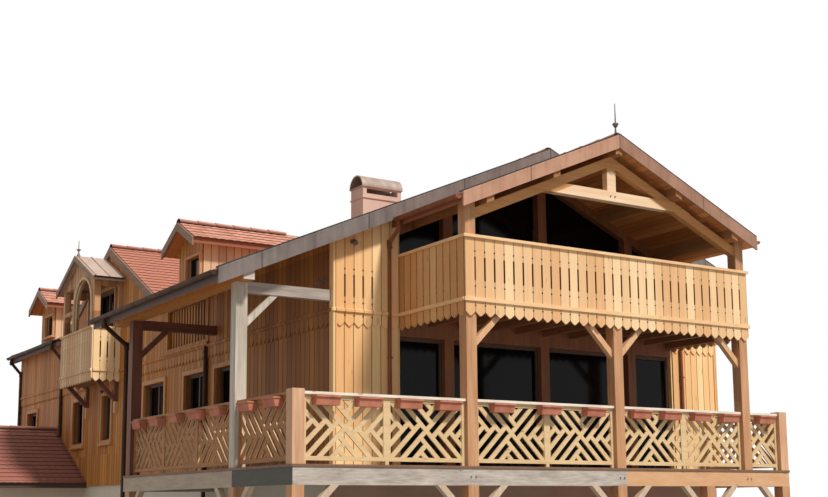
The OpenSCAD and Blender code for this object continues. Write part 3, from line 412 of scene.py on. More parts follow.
def place_piece(name, mesh, finish):
    """Puts a finished mesh in the scene as a piece of the house."""
    piece = bpy.data.objects.new(name, mesh)
    bpy.context.scene.collection.objects.link(piece)
    mesh.materials.clear()
    mesh.materials.append(bpy.data.materials[finish])
    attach(piece, "root")
    return piece


def block(bm, low, high):
    """A box between two corners."""
    low, high = Vector(low), Vector(high)
    matrix = Matrix.Translation((low + high) / 2) @ Matrix.Diagonal(Vector(high - low).to_4d())
    return bmesh.ops.create_cube(bm, size=1.0, matrix=matrix)["verts"]


def drum(bm, place, turn, depth, radius, top=None, segments=16):
    """A closed drum round a place, turned from upright by a matrix, with a top of its own radius."""
    bmesh.ops.create_cone(bm, cap_ends=True, segments=segments, radius1=radius,
                          radius2=radius if top is None else top, depth=depth,
                          matrix=Matrix.Translation(place) @ turn)


def bar(bm, start, end, side, low, high):
    """A bar along a slope, as wide as the side vector and between two heights."""
    start, end, side = Vector(start), Vector(end), Vector(side)
    places = (start, end, end + side, start + side)
    verts = [bm.verts.new(p + Vector((0, 0, h))) for h in (low, high) for p in places]
    for face in ((0, 1, 2, 3), (4, 5, 6, 7), (0, 1, 5, 4), (1, 2, 6, 5), (2, 3, 7, 6), (3, 0, 4, 7)):
        bm.faces.new([verts[i] for i in face])


def as_mesh(name, bm, bevel=0.0):
    """Closes the drawing of a mesh: softened edges, faces outwards."""
    if bevel:
        bmesh.ops.bevel(bm, geom=bm.edges[:], offset=bevel, segments=1, affect="EDGES", clamp_overlap=True)
    bmesh.ops.recalc_face_normals(bm, faces=bm.faces[:])
    mesh = bpy.data.meshes.new(name)
    bm.to_mesh(mesh)
    bm.free()
    return mesh


def place_drawing(name, bm, finish, bevel=0.0):
    """Puts a drawn mesh in the scene as a piece of the house."""
    return place_piece(name, as_mesh(name, bm, bevel), finish)


def place_blocks(name, boxes, finish, bevel=0.006):
    """Boxes with softened edges as one piece."""
    bm = bmesh.new()
    for low, high in boxes:
        block(bm, low, high)
    return place_drawing(name, bm, finish, bevel)


def islands(name):
    """The points of each of a node's separate lumps."""
    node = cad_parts[name]
    bm = bmesh.new()
    bm.from_mesh(node.data)
    bmesh.ops.remove_doubles(bm, verts=bm.verts[:], dist=0.0005)
    left, lumps = set(bm.verts), []
    while left:
        lump, edge = set(), [left.pop()]
        while edge:
            vert = edge.pop()
            lump.add(vert)
            near = [e.other_vert(vert) for e in vert.link_edges if e.other_vert(vert) in left]
            left.difference_update(near)
            edge += near
        lumps.append([node.matrix_world @ v.co for v in lump])
    bm.free()
    return lumps


def span(points):
    """The two corners of the box round some points."""
    return [Vector(pick(p[i] for p in points) for i in range(3)) for pick in (min, max)]


def points_mesh(name, rows):
    """Loose points, each with a place, a size and a turn, for a tree to put copies on."""
    mesh = bpy.data.meshes.new(name)
    mesh.from_pydata([row[0] for row in rows], [], [])
    for attribute, column in (("size", 1), ("turn", 2)):
        data = mesh.attributes.new(attribute, "FLOAT_VECTOR", "POINT").data
        data.foreach_set("vector", np.array([row[column] for row in rows], np.float32).ravel())
    return mesh


def copies_tree(name, shape, *sizes):
    """Puts a shape on each point, sized and turned by the point, with a random tint each."""
    group = bpy.data.node_groups.new(name, "GeometryNodeTree")
    for way, label, kind in [("OUTPUT", "Geometry", "Geometry"), ("INPUT", "Geometry", "Geometry"),
                             ("INPUT", "Finish", "Material")] + [("INPUT", size, "Float") for size in sizes]:
        group.interface.new_socket(label, in_out=way, socket_type="NodeSocket" + kind)
    tree = Tree(group)
    points, finish, *measures = tree.add("NodeGroupInput").outputs("Geometry", "Finish", *sizes)
    vector = {"data_type": "FLOAT_VECTOR"}
    size = tree.add("GeometryNodeInputNamedAttribute", vector, {0: "size"})
    turn = tree.add("GeometryNodeInputNamedAttribute", vector, {0: "turn"})
    turn = tree.add("FunctionNodeEulerToRotation", inputs={0: turn})
    copies = tree.add("GeometryNodeInstanceOnPoints", inputs={
        "Points": points, "Instance": shape(tree, *measures), "Rotation": turn, "Scale": size})
    chance = tree.add("FunctionNodeRandomValue", {"data_type": "FLOAT"},
                      {2: 0.0, 3: 1.0, "Seed": 7}, output=1)
    copies = tree.add("GeometryNodeStoreNamedAttribute", {"data_type": "FLOAT", "domain": "INSTANCE"},
                      {"Geometry": copies, "Name": "tint", "Value": chance})
    real = tree.add("GeometryNodeRealizeInstances", inputs={0: copies})
    done = tree.add("GeometryNodeSetMaterial", inputs={"Geometry": real, "Material": finish})
    tree.add("NodeGroupOutput", inputs={0: done})
    return group


def board_shape(tree):
    """A board with its foot at the point, one metre each way."""
    cube = tree.add("GeometryNodeMeshCube", inputs={0: (1.0, 1.0, 1.0)})
    return tree.add("GeometryNodeTransform", inputs={"Geometry": cube, "Translation": (0.0, 0.0, 0.5)})


def tile_shape(tree, width, length, roll, thickness):
    """A rolled clay tile: its top curves up to one side and its lower edge is thick."""
    grid = tree.add("GeometryNodeMeshGrid", inputs={0: width, 1: length, 2: 4, 3: 2})
    position = tree.add("GeometryNodeInputPosition")
    x, = tree.add("ShaderNodeSeparateXYZ", inputs={0: position}).outputs(0)
    wave = ((x / width) * (2.0 * math.pi)).cosine() * roll
    lift = tree.add("ShaderNodeCombineXYZ", inputs={2: wave})
    bent = tree.add("GeometryNodeSetPosition", inputs={"Geometry": grid, "Offset": lift})
    down = tree.add("ShaderNodeCombineXYZ", inputs={2: thickness * -1.0})
    solid = tree.add("GeometryNodeExtrudeMesh", {"mode": "FACES"}, {
        "Mesh": bent, "Offset": down, "Offset Scale": 1.0, "Individual": False})
    top = tree.add("GeometryNodeFlipFaces", inputs={0: bent})
    whole = tree.add("GeometryNodeJoinGeometry")
    for part in (top, solid):
        tree.feed(whole.socket.node.inputs[0], part)
    return tree.add("GeometryNodeFlipFaces", inputs={0: whole})


def head_shape(tree, radius, depth):
    """A round bolt head that stands out from a face."""
    rod = tree.add("GeometryNodeMeshCylinder", {"fill_type": "NGON"}, {
        "Vertices": 10, "Radius": radius, "Depth": depth})
    return tree.add("GeometryNodeTransform", inputs={"Geometry": rod, "Rotation": (math.pi / 2, 0.0, 0.0)})


def grow(name, rows, group, finish, slot_name, **sizes):
    """Runs a geometry tree on rows of points and keeps the result as a plain piece."""
    carrier = bpy.data.objects.new(name + "_source", points_mesh(name, rows))
    bpy.context.scene.collection.objects.link(carrier)
    modifier = carrier.modifiers.new("Shape", "NODES")
    modifier.node_group = group
    wanted = {"Finish": bpy.data.materials[finish]}
    wanted.update({key.replace("_", " ").capitalize(): value for key, value in sizes.items()})
    for item in group.interface.items_tree:
        if item.item_type == "SOCKET" and item.in_out == "INPUT" and item.name in wanted:
            modifier[item.identifier] = wanted[item.name]
    bpy.context.view_layer.update()
    evaluated = carrier.evaluated_get(bpy.context.evaluated_depsgraph_get())
    mesh = bpy.data.meshes.new_from_object(evaluated)
    mesh.name = name
    carrier.modifiers.remove(modifier)
    bpy.data.objects.remove(carrier)
    return place_piece(name, mesh, finish)


# ---- sizes and colours that a user would change ----

metres = partial(FloatProperty, subtype="DISTANCE")
paint = partial(FloatVectorProperty, size=4, subtype="COLOR")


class ChaletSizes(bpy.types.PropertyGroup):
    """Sizes of the pieces that dress the house."""
    board_width: metres(name="Board width", description="Spacing of the wall boards",
                        default=0.165, min=0.1, max=0.3)
    board_thickness: metres(name="Board thickness", description="Thickness of a wall board",
                            default=0.02, min=0.01, max=0.04)
    tile_width: metres(name="Tile width", description="Spacing of the tiles along the ridge",
                       default=0.17, min=0.15, max=0.4)
    tile_course: metres(name="Tile course", description="Spacing of the tile courses down the slope",
                        default=0.21, min=0.15, max=0.5)
    frame_width: metres(name="Window frame width", description="Width of the boards round a window",
                        default=0.09, min=0.05, max=0.15)
    bolt_radius: metres(name="Bolt radius", description="Radius of a bolt head",
                        default=0.012, min=0.01, max=0.04)
    deck_board: metres(name="Deck board width", description="Spacing of the terrace boards",
                       default=0.14, min=0.1, max=0.2)
    sun_size: FloatProperty(name="Light softness", description="Angle that the main light fills",
                            default=0.12, min=0.02, max=1.5, subtype="ANGLE")


class ChaletColours(bpy.types.PropertyGroup):
    """Colours of the house's finishes."""
    larch: paint(name="Larch", description="Lit larch boards", default=colour("F0CE9E"))
    larch_deep: paint(name="Deep larch", description="Darker grain of the larch boards",
                      default=colour("D9A773"))
    rose: paint(name="Post timber", description="Posts, braces and barge boards",
                default=colour("D9A679"))
    rose_deep: paint(name="Deep post timber", description="Darker grain of the posts",
                     default=colour("B87F55"))
    grey: paint(name="Weathered timber", description="Terrace beams and tie beams",
                default=colour("ACA090"))
    tile: paint(name="Tile", description="Clay tiles", default=colour("D39A82"))
    tile_deep: paint(name="Deep tile", description="Darker clay tiles", default=colour("A8664F"))
    zinc: paint(name="Edge metal", description="Metal on the roof edges", default=colour("7A6E68"))
    copper: paint(name="Browned copper", description="Gutters and pipes", default=colour("4A3222"))
    plaster: paint(name="Plaster", description="Plaster of the ground storey", default=colour("DDD3C0"))
    glass: paint(name="Glass", description="Dark panes", default=colour("0B0A09"))


class ChaletOperator:
    """What the house's operators share."""
    bl_options = {"REGISTER", "UNDO"}

    @property
    def sizes(self):
        return bpy.context.scene.chalet_sizes

    @property
    def colours(self):
        return bpy.context.scene.chalet_colours


# ---- stage ----

# The camera's place, turn and lens, and the light's way and strength
EYE = Vector((-13.624, -15.221, 1.962))
PITCH, ROLL, YAW = (math.radians(angle) for angle in (8.5141, -0.43869, 32.4837))
LENS, SHIFT_UP = 53.283, 0.0902
SUN_WAY, SUN_STRENGTH, SKY_STRENGTH = Vector((-0.16, 0.57, -0.806)), 3.9, 0.42
FLOOR_CORNERS = [(x, y, -0.002) for x, y in ((-90, -80), (90, -80), (90, 100), (-90, 100))]


class CHALET_OT_stage(ChaletOperator, bpy.types.Operator):
    """Adds the camera, the lights and the pale floor"""
    bl_idname = "chalet.stage"
    bl_label = "Stage"

    def execute(self, context):
        scene = context.scene
        scene.view_settings.view_transform = "Standard"
        lens = bpy.data.cameras.new("Camera")
        lens.sensor_width, lens.lens, lens.shift_y, lens.clip_end = 36.0, LENS, SHIFT_UP, 400.0
        scene.camera = self.link(scene, "Camera", lens)
        forward = Vector((math.sin(YAW) * math.cos(PITCH), math.cos(YAW) * math.cos(PITCH), math.sin(PITCH)))
        right = Vector((math.cos(YAW), -math.sin(YAW), 0.0))
        up = right.cross(forward)
        turned_right = right * math.cos(ROLL) + up * math.sin(ROLL)
        turned_up = up * math.cos(ROLL) - right * math.sin(ROLL)
        basis = Matrix((turned_right, turned_up, -forward)).transposed()
        scene.camera.matrix_world = Matrix.Translation(EYE) @ basis.to_4x4()

        sun = bpy.data.lights.new("Key", "SUN")
        sun.energy, sun.angle, sun.color = SUN_STRENGTH, self.sizes.sun_size, (1.0, 0.97, 0.93)
        self.link(scene, "Key", sun).rotation_euler = SUN_WAY.to_track_quat("-Z", "Y").to_euler()

        scene.world = bpy.data.worlds.new("Studio")
        scene.world.use_nodes = True
        tree = Tree(scene.world.node_tree)
        tree.tree.nodes.clear()
        plain = tree.add("ShaderNodeBackground", inputs={0: (0.96, 0.97, 1.0, 1.0), 1: SKY_STRENGTH})
        white = tree.add("ShaderNodeBackground", inputs={0: (1.0, 1.0, 1.0, 1.0), 1: 1.0})
        both = tree.add("ShaderNodeMixShader", inputs={0: tree.shown(), 1: plain, 2: white})
        tree.add("ShaderNodeOutputWorld", inputs={0: both})

        f = Finish("Pale floor")
        seen = f.mix(f.noise(f.place, 0.8, 2.0), (0.80, 0.80, 0.79, 1.0), (0.84, 0.84, 0.83, 1.0))
        f.surface(f.mix(f.shown(), (0.30, 0.30, 0.29, 1.0), seen), 0.9)
        mesh = bpy.data.meshes.new("Floor")
        mesh.from_pydata(FLOOR_CORNERS, [], [(0, 1, 2, 3)])
        mesh.materials.append(f.material)
        self.link(scene, "Floor", mesh)
        return {"FINISHED"}

    def link(self, scene, name, data):
        thing = bpy.data.objects.new(name, data)
        scene.collection.objects.link(thing)
        return thing


# ---- finishes ----

class CHALET_OT_finishes(ChaletOperator, bpy.types.Operator):
    """Makes the materials and puts one on each solid of the frame"""
    bl_idname = "chalet.finishes"
    bl_label = "Finishes"

    def execute(self, context):
        for names, material in self.clad() + self.framed() + self.roofed():
            for name in names.split():
                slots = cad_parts[name].data.materials
                if not slots:
                    slots.append(material)
                for i in range(len(slots)):
                    slots[i] = material
        return {"FINISHED"}

    def clad(self):
        """Boards and rails, each with the nodes that it goes on."""
        c, width = self.colours, self.sizes.board_width
        low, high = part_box("balcony_boards")
        balcony = board_counter((low.x, high.x), (low.y + 0.029, high.y), BALCONY_BOARD)
        low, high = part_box("loggia_boards")
        hung = board_counter((high.x - 0.668, high.x), (low.y, high.y), BALCONY_BOARD)
        walls = board_counter((WALL_LEFT, WALL_RIGHT), (FIRST_BOARD, WALL_BACK), width)
        steps = board_step(WALL_LEFT, BAY_EDGE, width), board_step(-BAY_EDGE, WALL_RIGHT, width)

        def bays(f):
            left, right = (f.x - WALL_LEFT) / steps[0], (f.x + BAY_EDGE) / steps[1]
            return left + (right - left) * (f.x > 0.0)

        # painted shade: the walls' larch is a darker, redder copy of the bays' larch, for walls in the shade
        # of the roofs
        wall, wall_deep = "CC8838", "9C5D1F"
        # painted light: boards high up that face the front, such as the dormer cheeks, are paler where the
        # sun falls on them
        cheeks = (lambda f: (f.z > 6.2) * (f.ny < -0.5), "D8B690", "B08A66")
        # painted shade: the side wall under the side terrace's roof is darker
        terrace_shade = (lambda f: (f.y < 5.3) * (f.y > 1.9) * (f.x < -4.2) * (f.z < 6.1),
                     tone(wall, 0.72), tone(wall_deep, 0.66))
        # painted shade: the balcony's faces that turn left, away from the sun, are darker
        shaded_return_side = (lambda f: f.nx < -0.5, "E3B67C", "CB9158")
        # painted light: the loggia's boards that face the front are paler where the sun falls on them
        lit_loggia_face = (lambda f: f.ny < -0.5, "FFEBC2", "F5D09A")
        top_rail = (lambda f: f.z > 3.529, "F4EADB", "D8C8B2")
        # painted shade: the side trellis, which faces away from the sun, is darker and redder than the front
        # one
        side_trellis = (lambda f: f.x < -5.9, "B57C46", "8B592F")
        return [
            ("balcony_boards",
             timber("Balcony larch", c.larch, c.larch_deep, "z", balcony, 0.05, c.grey, [shaded_return_side])),
            ("front_bays", timber("Bay larch", "FCD89F", "E8AF72", "z", bays, 0.05, c.grey)),
            ("left_wall right_wall back_wall dormer_walls cross_gable_wall",
             timber("Wall larch", wall, wall_deep, "z", walls, 0.04, tone(c.grey, 0.7),
                    [cheeks, terrace_shade])),
            ("loggia_boards",
             timber("Loggia larch", tone(c.larch, 0.9), tone(c.larch_deep, 0.85), "z", hung, 0.15,
                    tone(c.grey, 0.9), [lit_loggia_face])),
            # painted shade: a darker larch for the loggia's posts and arch, which stand in shade
            ("loggia_posts loggia_arch", timber("Shaded arch larch", "CC9A6C", "9A6742", "z", hung, 0.1, c.grey)),
            ("balcony_rails",
             timber("Rail larch", tone(c.larch, 1.05), c.larch_deep, "level", None, 0.1, c.grey)),
            ("front_trellis side_trellis",
             timber("Trellis larch", "E2C79A", "C8A474", "level", None, 0.05, c.grey,
                    [top_rail, side_trellis])),
            ("", timber("Window frames", "D9A06A", "AE7442")),
            ("", timber("Window sashes", "5A3E2E", "3A261C")),
        ]

    def framed(self):
        """Posts, beams and floors, each with the nodes that it goes on.

        The side terrace has a corner post, a pale post near it and darker, redder timber behind, which is
        painted shade."""
        c = self.colours
        corner_end, near_end = 1.0, 4.0
        beam_edge, beam_turn, plate_edge = DECK_LEFT + 0.01, 1.9, -5.81
        # painted shade: posts, ties and braces behind the near post are darker and redder, as in the shade
        # of the terrace roof
        far_shade, far_shade_deep = "7E4A34", "522D1F"
        pale, pale_deep = "E2D7C8", "988A78"
        near = lambda f: (f.y < near_end) * (f.y > corner_end)
        corner_post = (lambda f: f.y < corner_end, "E6BA94", "B07E5A")
        far_shade_braces = (lambda f: (f.y > near_end) * (f.z > 4.4), far_shade, far_shade_deep)
        near_braces = (lambda f: near(f) * (f.x < -4.0) * (f.z > 4.0), pale, pale_deep)
        low_braces = (lambda f: f.z < GROUND_TOP, "DCC6AC", "AE9478")
        # painted shade: the plate takes the walls' darker larch
        plate = (lambda f: f.x < plate_edge, "CC8838", "9C5D1F")
        plate_end = (lambda f: (f.x < plate_edge) * (f.ny < -0.5), pale, pale_deep)
        truss_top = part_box("front_truss")[1].z
        # painted shade: the rafters above the collar are darker and warmer than the lit collar
        shaded_rafters = (lambda f: f.z + abs(f.x) * ROOF_PITCH > truss_top - 0.25, "DDA164", "B27840")
        front_right = (lambda f: (f.x > 0.1) * (f.y < 1.8), "DAB187", "C28F62")
        # painted shade: the corner beam's side face by the front, turned away from the sun, is dark
        shaded_beam_corner = (lambda f: (f.x < beam_edge) * (f.y < beam_turn), "3F3929", "252018")
        side_beam = (lambda f: (f.x < beam_edge) * (f.y > beam_turn), "C8B298", "96826E")
        return [
            ("front_truss upper_floor_slab",
             timber("Beam larch", "F4D8B4", "DCB48C", "x", patches=[shaded_rafters])),
            # painted shade: a dark larch for the joists under the balcony and the loggia
            ("balcony_floor loggia_floor", timber("Shaded joist larch", "9A6844", "6A4228", "y")),
            # painted shade: the purlins are darker than the lit timber round them
            ("purlins", timber("Shaded purlin larch", "B07C4A", "885A30", "y")),
            ("deck_posts balcony_posts",
             timber("Post timber", tone(c.rose, 0.98), tone(c.rose_deep, 0.72), "z", None, 0.1, c.grey)),
            # painted shade: a dark timber for the mullions, the lintel and the gable frame under the
            # overhangs
            ("front_mullions front_lintel gable_frame", timber("Shaded frame timber", "A2643A", "643A20")),
            ("terrace_posts", timber("Terrace posts", far_shade, far_shade_deep,
                                     patches=[(near, pale, pale_deep), corner_post])),
            ("tie_beams", timber("Terrace ties", far_shade, far_shade_deep, "x",
                                 patches=[(near, "C8BBB0", "84766A"), plate, plate_end])),
            ("braces", timber("Brace timber", "E8BE90", "C08A5C",
                              patches=[far_shade_braces, near_braces, low_braces])),
            ("front_deck side_deck deck_beams",
             timber("Terrace beams", "D4C9BC", "887C70", "level", None, 0.25, c.grey,
                    [front_right, shaded_beam_corner, side_beam])),
            ("side_barge_boards", timber("Side barge timber", "9A7B62", "6A4C38", "y", None, 0.2, c.grey)),
            ("", timber("Deck edge timber", "8A6448", "5A3E2C", "level")),
            ("", timber("Terrace boards", "A08A72", "74604C", "level", None, 0.4, c.grey)),
        ]

    def roofed(self):
        """Roofs, metal, masonry, clay and glass, each with the nodes that it goes on."""
        c = self.colours
        # painted shade: the front barge on the right slope is darker
        shaded_right_slope = (lambda f: f.x > 0.0, "A0775F", "825A46")
        front_pipes = (lambda f: (f.y < 1.85) * (f.x > -4.0), "8C553A", "663C29")
        return [
            ("main_roof_left main_roof_right annexe_roof",
             roof_slab("Roof slab", "DCA26C", "B27240", "4E362A")),
            ("dormer_roofs cross_gable_roof front_roof",
             roof_slab("Side roof slab", "E29A58", "B26A30", "9C5A3A")),
            ("main_barge_boards finials", sheet_metal("Edge metal", c.zinc, "544A46", 0.5, 0.3, 1.9)),
            ("front_barge_boards", sheet_metal("Front edge metal", "BA8C70", "986A52", 0.6, 0.05, 1.9,
                                               [shaded_right_slope])),
            ("gutters downpipes", sheet_metal("Browned copper", c.copper, "2E1F15", 0.6, 0.0, 0.0,
                                              [front_pipes], 0.2)),
            ("chimney_cap", sheet_metal("Copper cap", "A08C80", "7E6C62", 0.5, 0.2)),
            ("loggia_roof", sheet_metal("Loggia metal", "B8A090", "94806F", 0.5, 0.2)),
            ("", sheet_metal("Dark iron", "33302E", "1E1C1B", 0.5, 0.5)),
            # painted shade: the plaster under the terrace is darker and pinker than the rest
            ("ground_front_wall", rendered("Shaded front plaster", "B08C7A", "8C6A5A")),
            ("ground_side_walls ground_back_wall terrace_floor_slab annexe_walls",
             rendered("Plaster", c.plaster, "C4B8A2")),
            ("chimney_stack", rendered("Chimney render", "CEB3A2", "AE9484")),
            ("flower_boxes", clay_pot("Terracotta", "CE8468", "AA624A")),
            ("", clay("Clay tiles", c.tile, c.tile_deep, "7B5548")),
            # painted shade: the annexe's tiles are a darker copy of the clay tiles
            ("", clay("Annexe tiles", "B87A66", "8E5546", "6B4A40")),
            ("front_glazing window_glass", pane("Dark glass", c.glass, "14171C")),
        ]


# ---- wall boards ----

def board_rows(u0, u1, pitch, low, high, holes, to_point, turn, thickness):
    """Boards side by side over a wall: each runs from low to high(u) and stops at the holes it meets."""
    shortest = 0.03
    width, middles = board_middles(u0, u1, pitch)
    rows = []
    for middle in middles:
        spans = [(low, high(middle))]
        for near, far, sill, head in holes:
            if near - 0.3 * width < middle < far + 0.3 * width:
                spans = [cut for b, t in spans for cut in ((b, min(t, sill)), (max(b, head), t))]
        rows += [(to_point(middle, b), (width - BOARD_GAP, thickness, t - b), (0, 0, turn))
                 for b, t in spans if t - b > shortest]
    return rows


def tips_mesh(name, u0, u1, pitch, to_point, turn, thickness):
    """Pointed ends with bowed sides, one under each board of a wall."""
    bm = bmesh.new()
    width, middles = board_middles(u0, u1, pitch)
    half, sweep = (width - BOARD_GAP) / 2, math.radians(66)
    side = [(half * (1 - t), TIP_DEPTH * (1 - math.sin(sweep * t) / math.sin(sweep)))
            for t in (0, 0.25, 0.5, 0.75, 1)]
    outline = side + [(-u, v) for u, v in reversed(side[:-1])]
    for middle in middles:
        matrix = Matrix.Translation(to_point(middle, BOARD_TIPS)) @ Matrix.Rotation(turn, 4, "Z")
        front, back = ([bm.verts.new(matrix @ Vector((u, offset, v))) for u, v in outline]
                       for offset in (-thickness / 2, thickness / 2))
        bm.faces.new(front)
        bm.faces.new(back[::-1])
        for a in range(len(front)):
            b = (a + 1) % len(front)
            bm.faces.new((front[b], front[a], back[a], back[b]))
    return as_mesh(name, bm)


class CHALET_OT_wall_boards(ChaletOperator, bpy.types.Operator):
    """Covers the timber walls with upright boards that end in points over the storey below"""
    bl_idname = "chalet.wall_boards"
    bl_label = "Wall boards"

    def execute(self, context):
        pitch, t = self.sizes.board_width, self.sizes.board_thickness
        tree = copies_tree("Boards", board_shape)
        side = math.pi / 2
        side_holes = SIDE_WINDOWS + [UPPER_OPENING]
        at_front = lambda u, z, d: (u, WALL_FRONT - d, z)
        for name, u0, u1, turn, holes, top, point in (
                ("left", FIRST_BOARD, WALL_BACK, side, side_holes + [LOGGIA_DOOR],
                 lambda u: roof_under(WALL_LEFT), lambda u, z, d: (WALL_LEFT - d, u, z)),
                ("right", FIRST_BOARD, WALL_BACK, side, side_holes,
                 lambda u: roof_under(WALL_RIGHT), lambda u, z, d: (WALL_RIGHT + d, u, z)),
                ("left_bay", WALL_LEFT, BAY_EDGE, 0.0, [], roof_under, at_front),
                ("right_bay", -BAY_EDGE, WALL_RIGHT, 0.0, [], roof_under, at_front),
                ("back", WALL_LEFT, WALL_RIGHT, 0.0, BACK_HOLES,
                 roof_under, lambda u, z, d: (u, WALL_BACK + d, z))):
            bay = "bay" in name
            foot = DECK_TOP if bay else GROUND_TOP
            over = lambda u, z: point(u, z, t * 1.5)
            lower = board_rows(u0, u1, pitch, foot, lambda u: BOARD_TIPS + 0.12, holes,
                               lambda u, z: point(u, z, t / 2), turn, t)
            upper = board_rows(u0, u1, pitch, BOARD_TIPS + TIP_DEPTH, top, holes, over, turn, t)
            if bay:
                corner = max(u0, u1, key=abs)
                upper = [part for row in upper for part in self.slotted(corner, *row)]
            larch = "Bay larch" if bay else "Wall larch"
            grow("boards_" + name, lower + upper, tree, larch, "larch")
            ends = tips_mesh("board_ends_" + name, u0, u1, pitch, over, turn, t)
            place_piece("board_ends_" + name, ends, larch)
        self.gables(tree, t)
        self.trims(t)
        return {"FINISHED"}

    def slotted(self, corner, place, size, turn):
        """Cuts an upper board back along the four seams by the corner that have a slot and notches."""
        (x, y, z), top = place, place[2] + size[2]
        left, right = (x + side * size[0] / 2 for side in (-1, 1))
        cuts = [(SLOT_WIDTH - BOARD_GAP) / 2 if 0.1 < abs(edge - corner) < 0.75 else 0.0
                for edge in (left, right)]
        if not any(cuts):
            return [(place, size, turn)]
        open_parts = sorted([SLOT] + [(n - NOTCH_HALF, n + NOTCH_HALF) for n in NOTCHES])
        heights = [z] + [h for part in open_parts for h in part] + [top]
        parts = []
        for i, (low, high) in enumerate(zip(heights, heights[1:])):
            a, b = (left + cuts[0], right - cuts[1]) if i % 2 else (left, right)
            parts.append((((a + b) / 2, y, low), (b - a, size[1], high - low), turn))
        return parts

    def trims(self, t):
        """The band over the board ends, the corner boards and a dark strip behind the slots, painted shade
        in them.
        """
        low, high, out, corner = BAND_TOP - 0.06, BAND_TOP, 0.068, 0.046
        loggia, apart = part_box("loggia_floor"), 0.025
        boxes = [((WALL_LEFT - out, y0, low), (WALL_LEFT, y1, high))
                 for y0, y1 in ((WALL_FRONT, loggia[0].y - apart), (loggia[1].y + apart, WALL_BACK))]
        boxes.append(((WALL_RIGHT, WALL_FRONT, low), (WALL_RIGHT + out, WALL_BACK, high)))
        boxes.append(((WALL_LEFT, WALL_BACK, low), (WALL_RIGHT, WALL_BACK + out, high)))
        place_blocks("wall_bands", boxes, "Wall larch", 0.008)
        bays = ((WALL_LEFT - out, BAY_EDGE), (-BAY_EDGE, WALL_RIGHT + out))
        boxes = [((x0, WALL_FRONT - out, low), (x1, WALL_FRONT, high)) for x0, x1 in bays]
        for x in (WALL_LEFT, WALL_RIGHT):
            x0, x1 = sorted((x + math.copysign(corner, x), x - math.copysign(0.03, x)))
            boxes.append(((x0, WALL_FRONT - corner, DECK_TOP),
                          (x1, WALL_FRONT + 0.09, roof_under(WALL_LEFT) - 0.03)))
        place_blocks("bay_bands", boxes, "Bay larch", 0.008)
        # painted shade: a dark strip behind the slots in the bays stands for the shade in them
        boxes = [((x0 + 0.06, WALL_FRONT - t * 0.9, NOTCHES[0] - 0.04),
                  (x1 - 0.06, WALL_FRONT - 0.001, NOTCHES[-1] + 0.04)) for x0, x1 in bays]
        place_blocks("slot_shade_backs", boxes, "Window sashes", 0.003)

    def gables(self, tree, t):
        """Boards on the cross gable and on the dormers' faces and cheeks."""
        pitch, turn = self.sizes.board_width, math.pi / 2
        at_wall = lambda u, z: (WALL_LEFT - t / 2, u, z)
        cross_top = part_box("cross_gable_roof")[1].z - GABLE_DEPTH
        step = board_step(FIRST_BOARD, WALL_BACK, pitch)
        near, far = (FIRST_BOARD + step * round((y - FIRST_BOARD) / step) for y in (9.75, 16.09))
        rows = board_rows(near, far, step, roof_under(WALL_LEFT),
                          lambda u: cross_top - GABLE_PITCH * abs(u - CROSS_Y), [LOGGIA_DOOR],
                          at_wall, turn, t)
        step, middles = board_middles(WALL_LEFT, WALL_RIGHT, pitch)
        for middle, ridge in DORMERS:
            top = ridge - GABLE_DEPTH
            rows += board_rows(middle - DORMER_HALF, middle + DORMER_HALF, 0.12, roof_top(WALL_LEFT),
                               lambda u: top - GABLE_PITCH * abs(u - middle), [dormer_window(middle, ridge)],
                               at_wall, turn, t)
            cheek_top = top - GABLE_PITCH * DORMER_HALF
            cheek_end = (cheek_top - RIDGE_TOP) / ROOF_PITCH
            for side in (-1, 1):
                for x in middles:
                    if x + step / 2 < cheek_end:
                        place = (x, middle + side * (DORMER_HALF + t / 2), roof_top(x - step / 2))
                        rows.append((place, (step - BOARD_GAP, t, cheek_top - place[2]), (0, 0, 0)))
        grow("boards_gables", rows, tree, "Wall larch", "larch")


# ---- roofs ----

def tile_points(origin, along, down, length, run, width, course, keep):
    """Tile places over a slope, from the ridge down, with the turn that lays each tile on it.

    Run is how far the slope reaches along the ground, and keep tells which places get a tile."""
    fall = run * down.length / down.xy.length
    along, down = Vector(along), down.normalized()
    up = along.cross(-down)
    if up.z < 0:
        up = -up
    tilt, lift, overhang = 0.07, 0.022, 0.02
    x_axis, y_axis = along, (-down * math.cos(tilt) - up * math.sin(tilt)).normalized()
    z_axis = x_axis.cross(y_axis)
    if z_axis.z < 0:
        x_axis, z_axis = -x_axis, -z_axis
    turn = tuple(Matrix((x_axis, y_axis, z_axis)).transposed().to_euler())
    rows, inset = [], width / 2 + 0.006
    for row in range(math.ceil(fall / course)):
        lower = min((row + 0.5) * course, fall - course / 2 + overhang)
        for column in range(math.ceil(length / width)):
            beside = min(max((column + 0.5) * width, inset), length - inset)
            place = Vector(origin) + along * beside + down * lower + up * lift
            if keep(place):
                rows.append((place, (1.0, 1.0, 1.0), turn))
    return rows


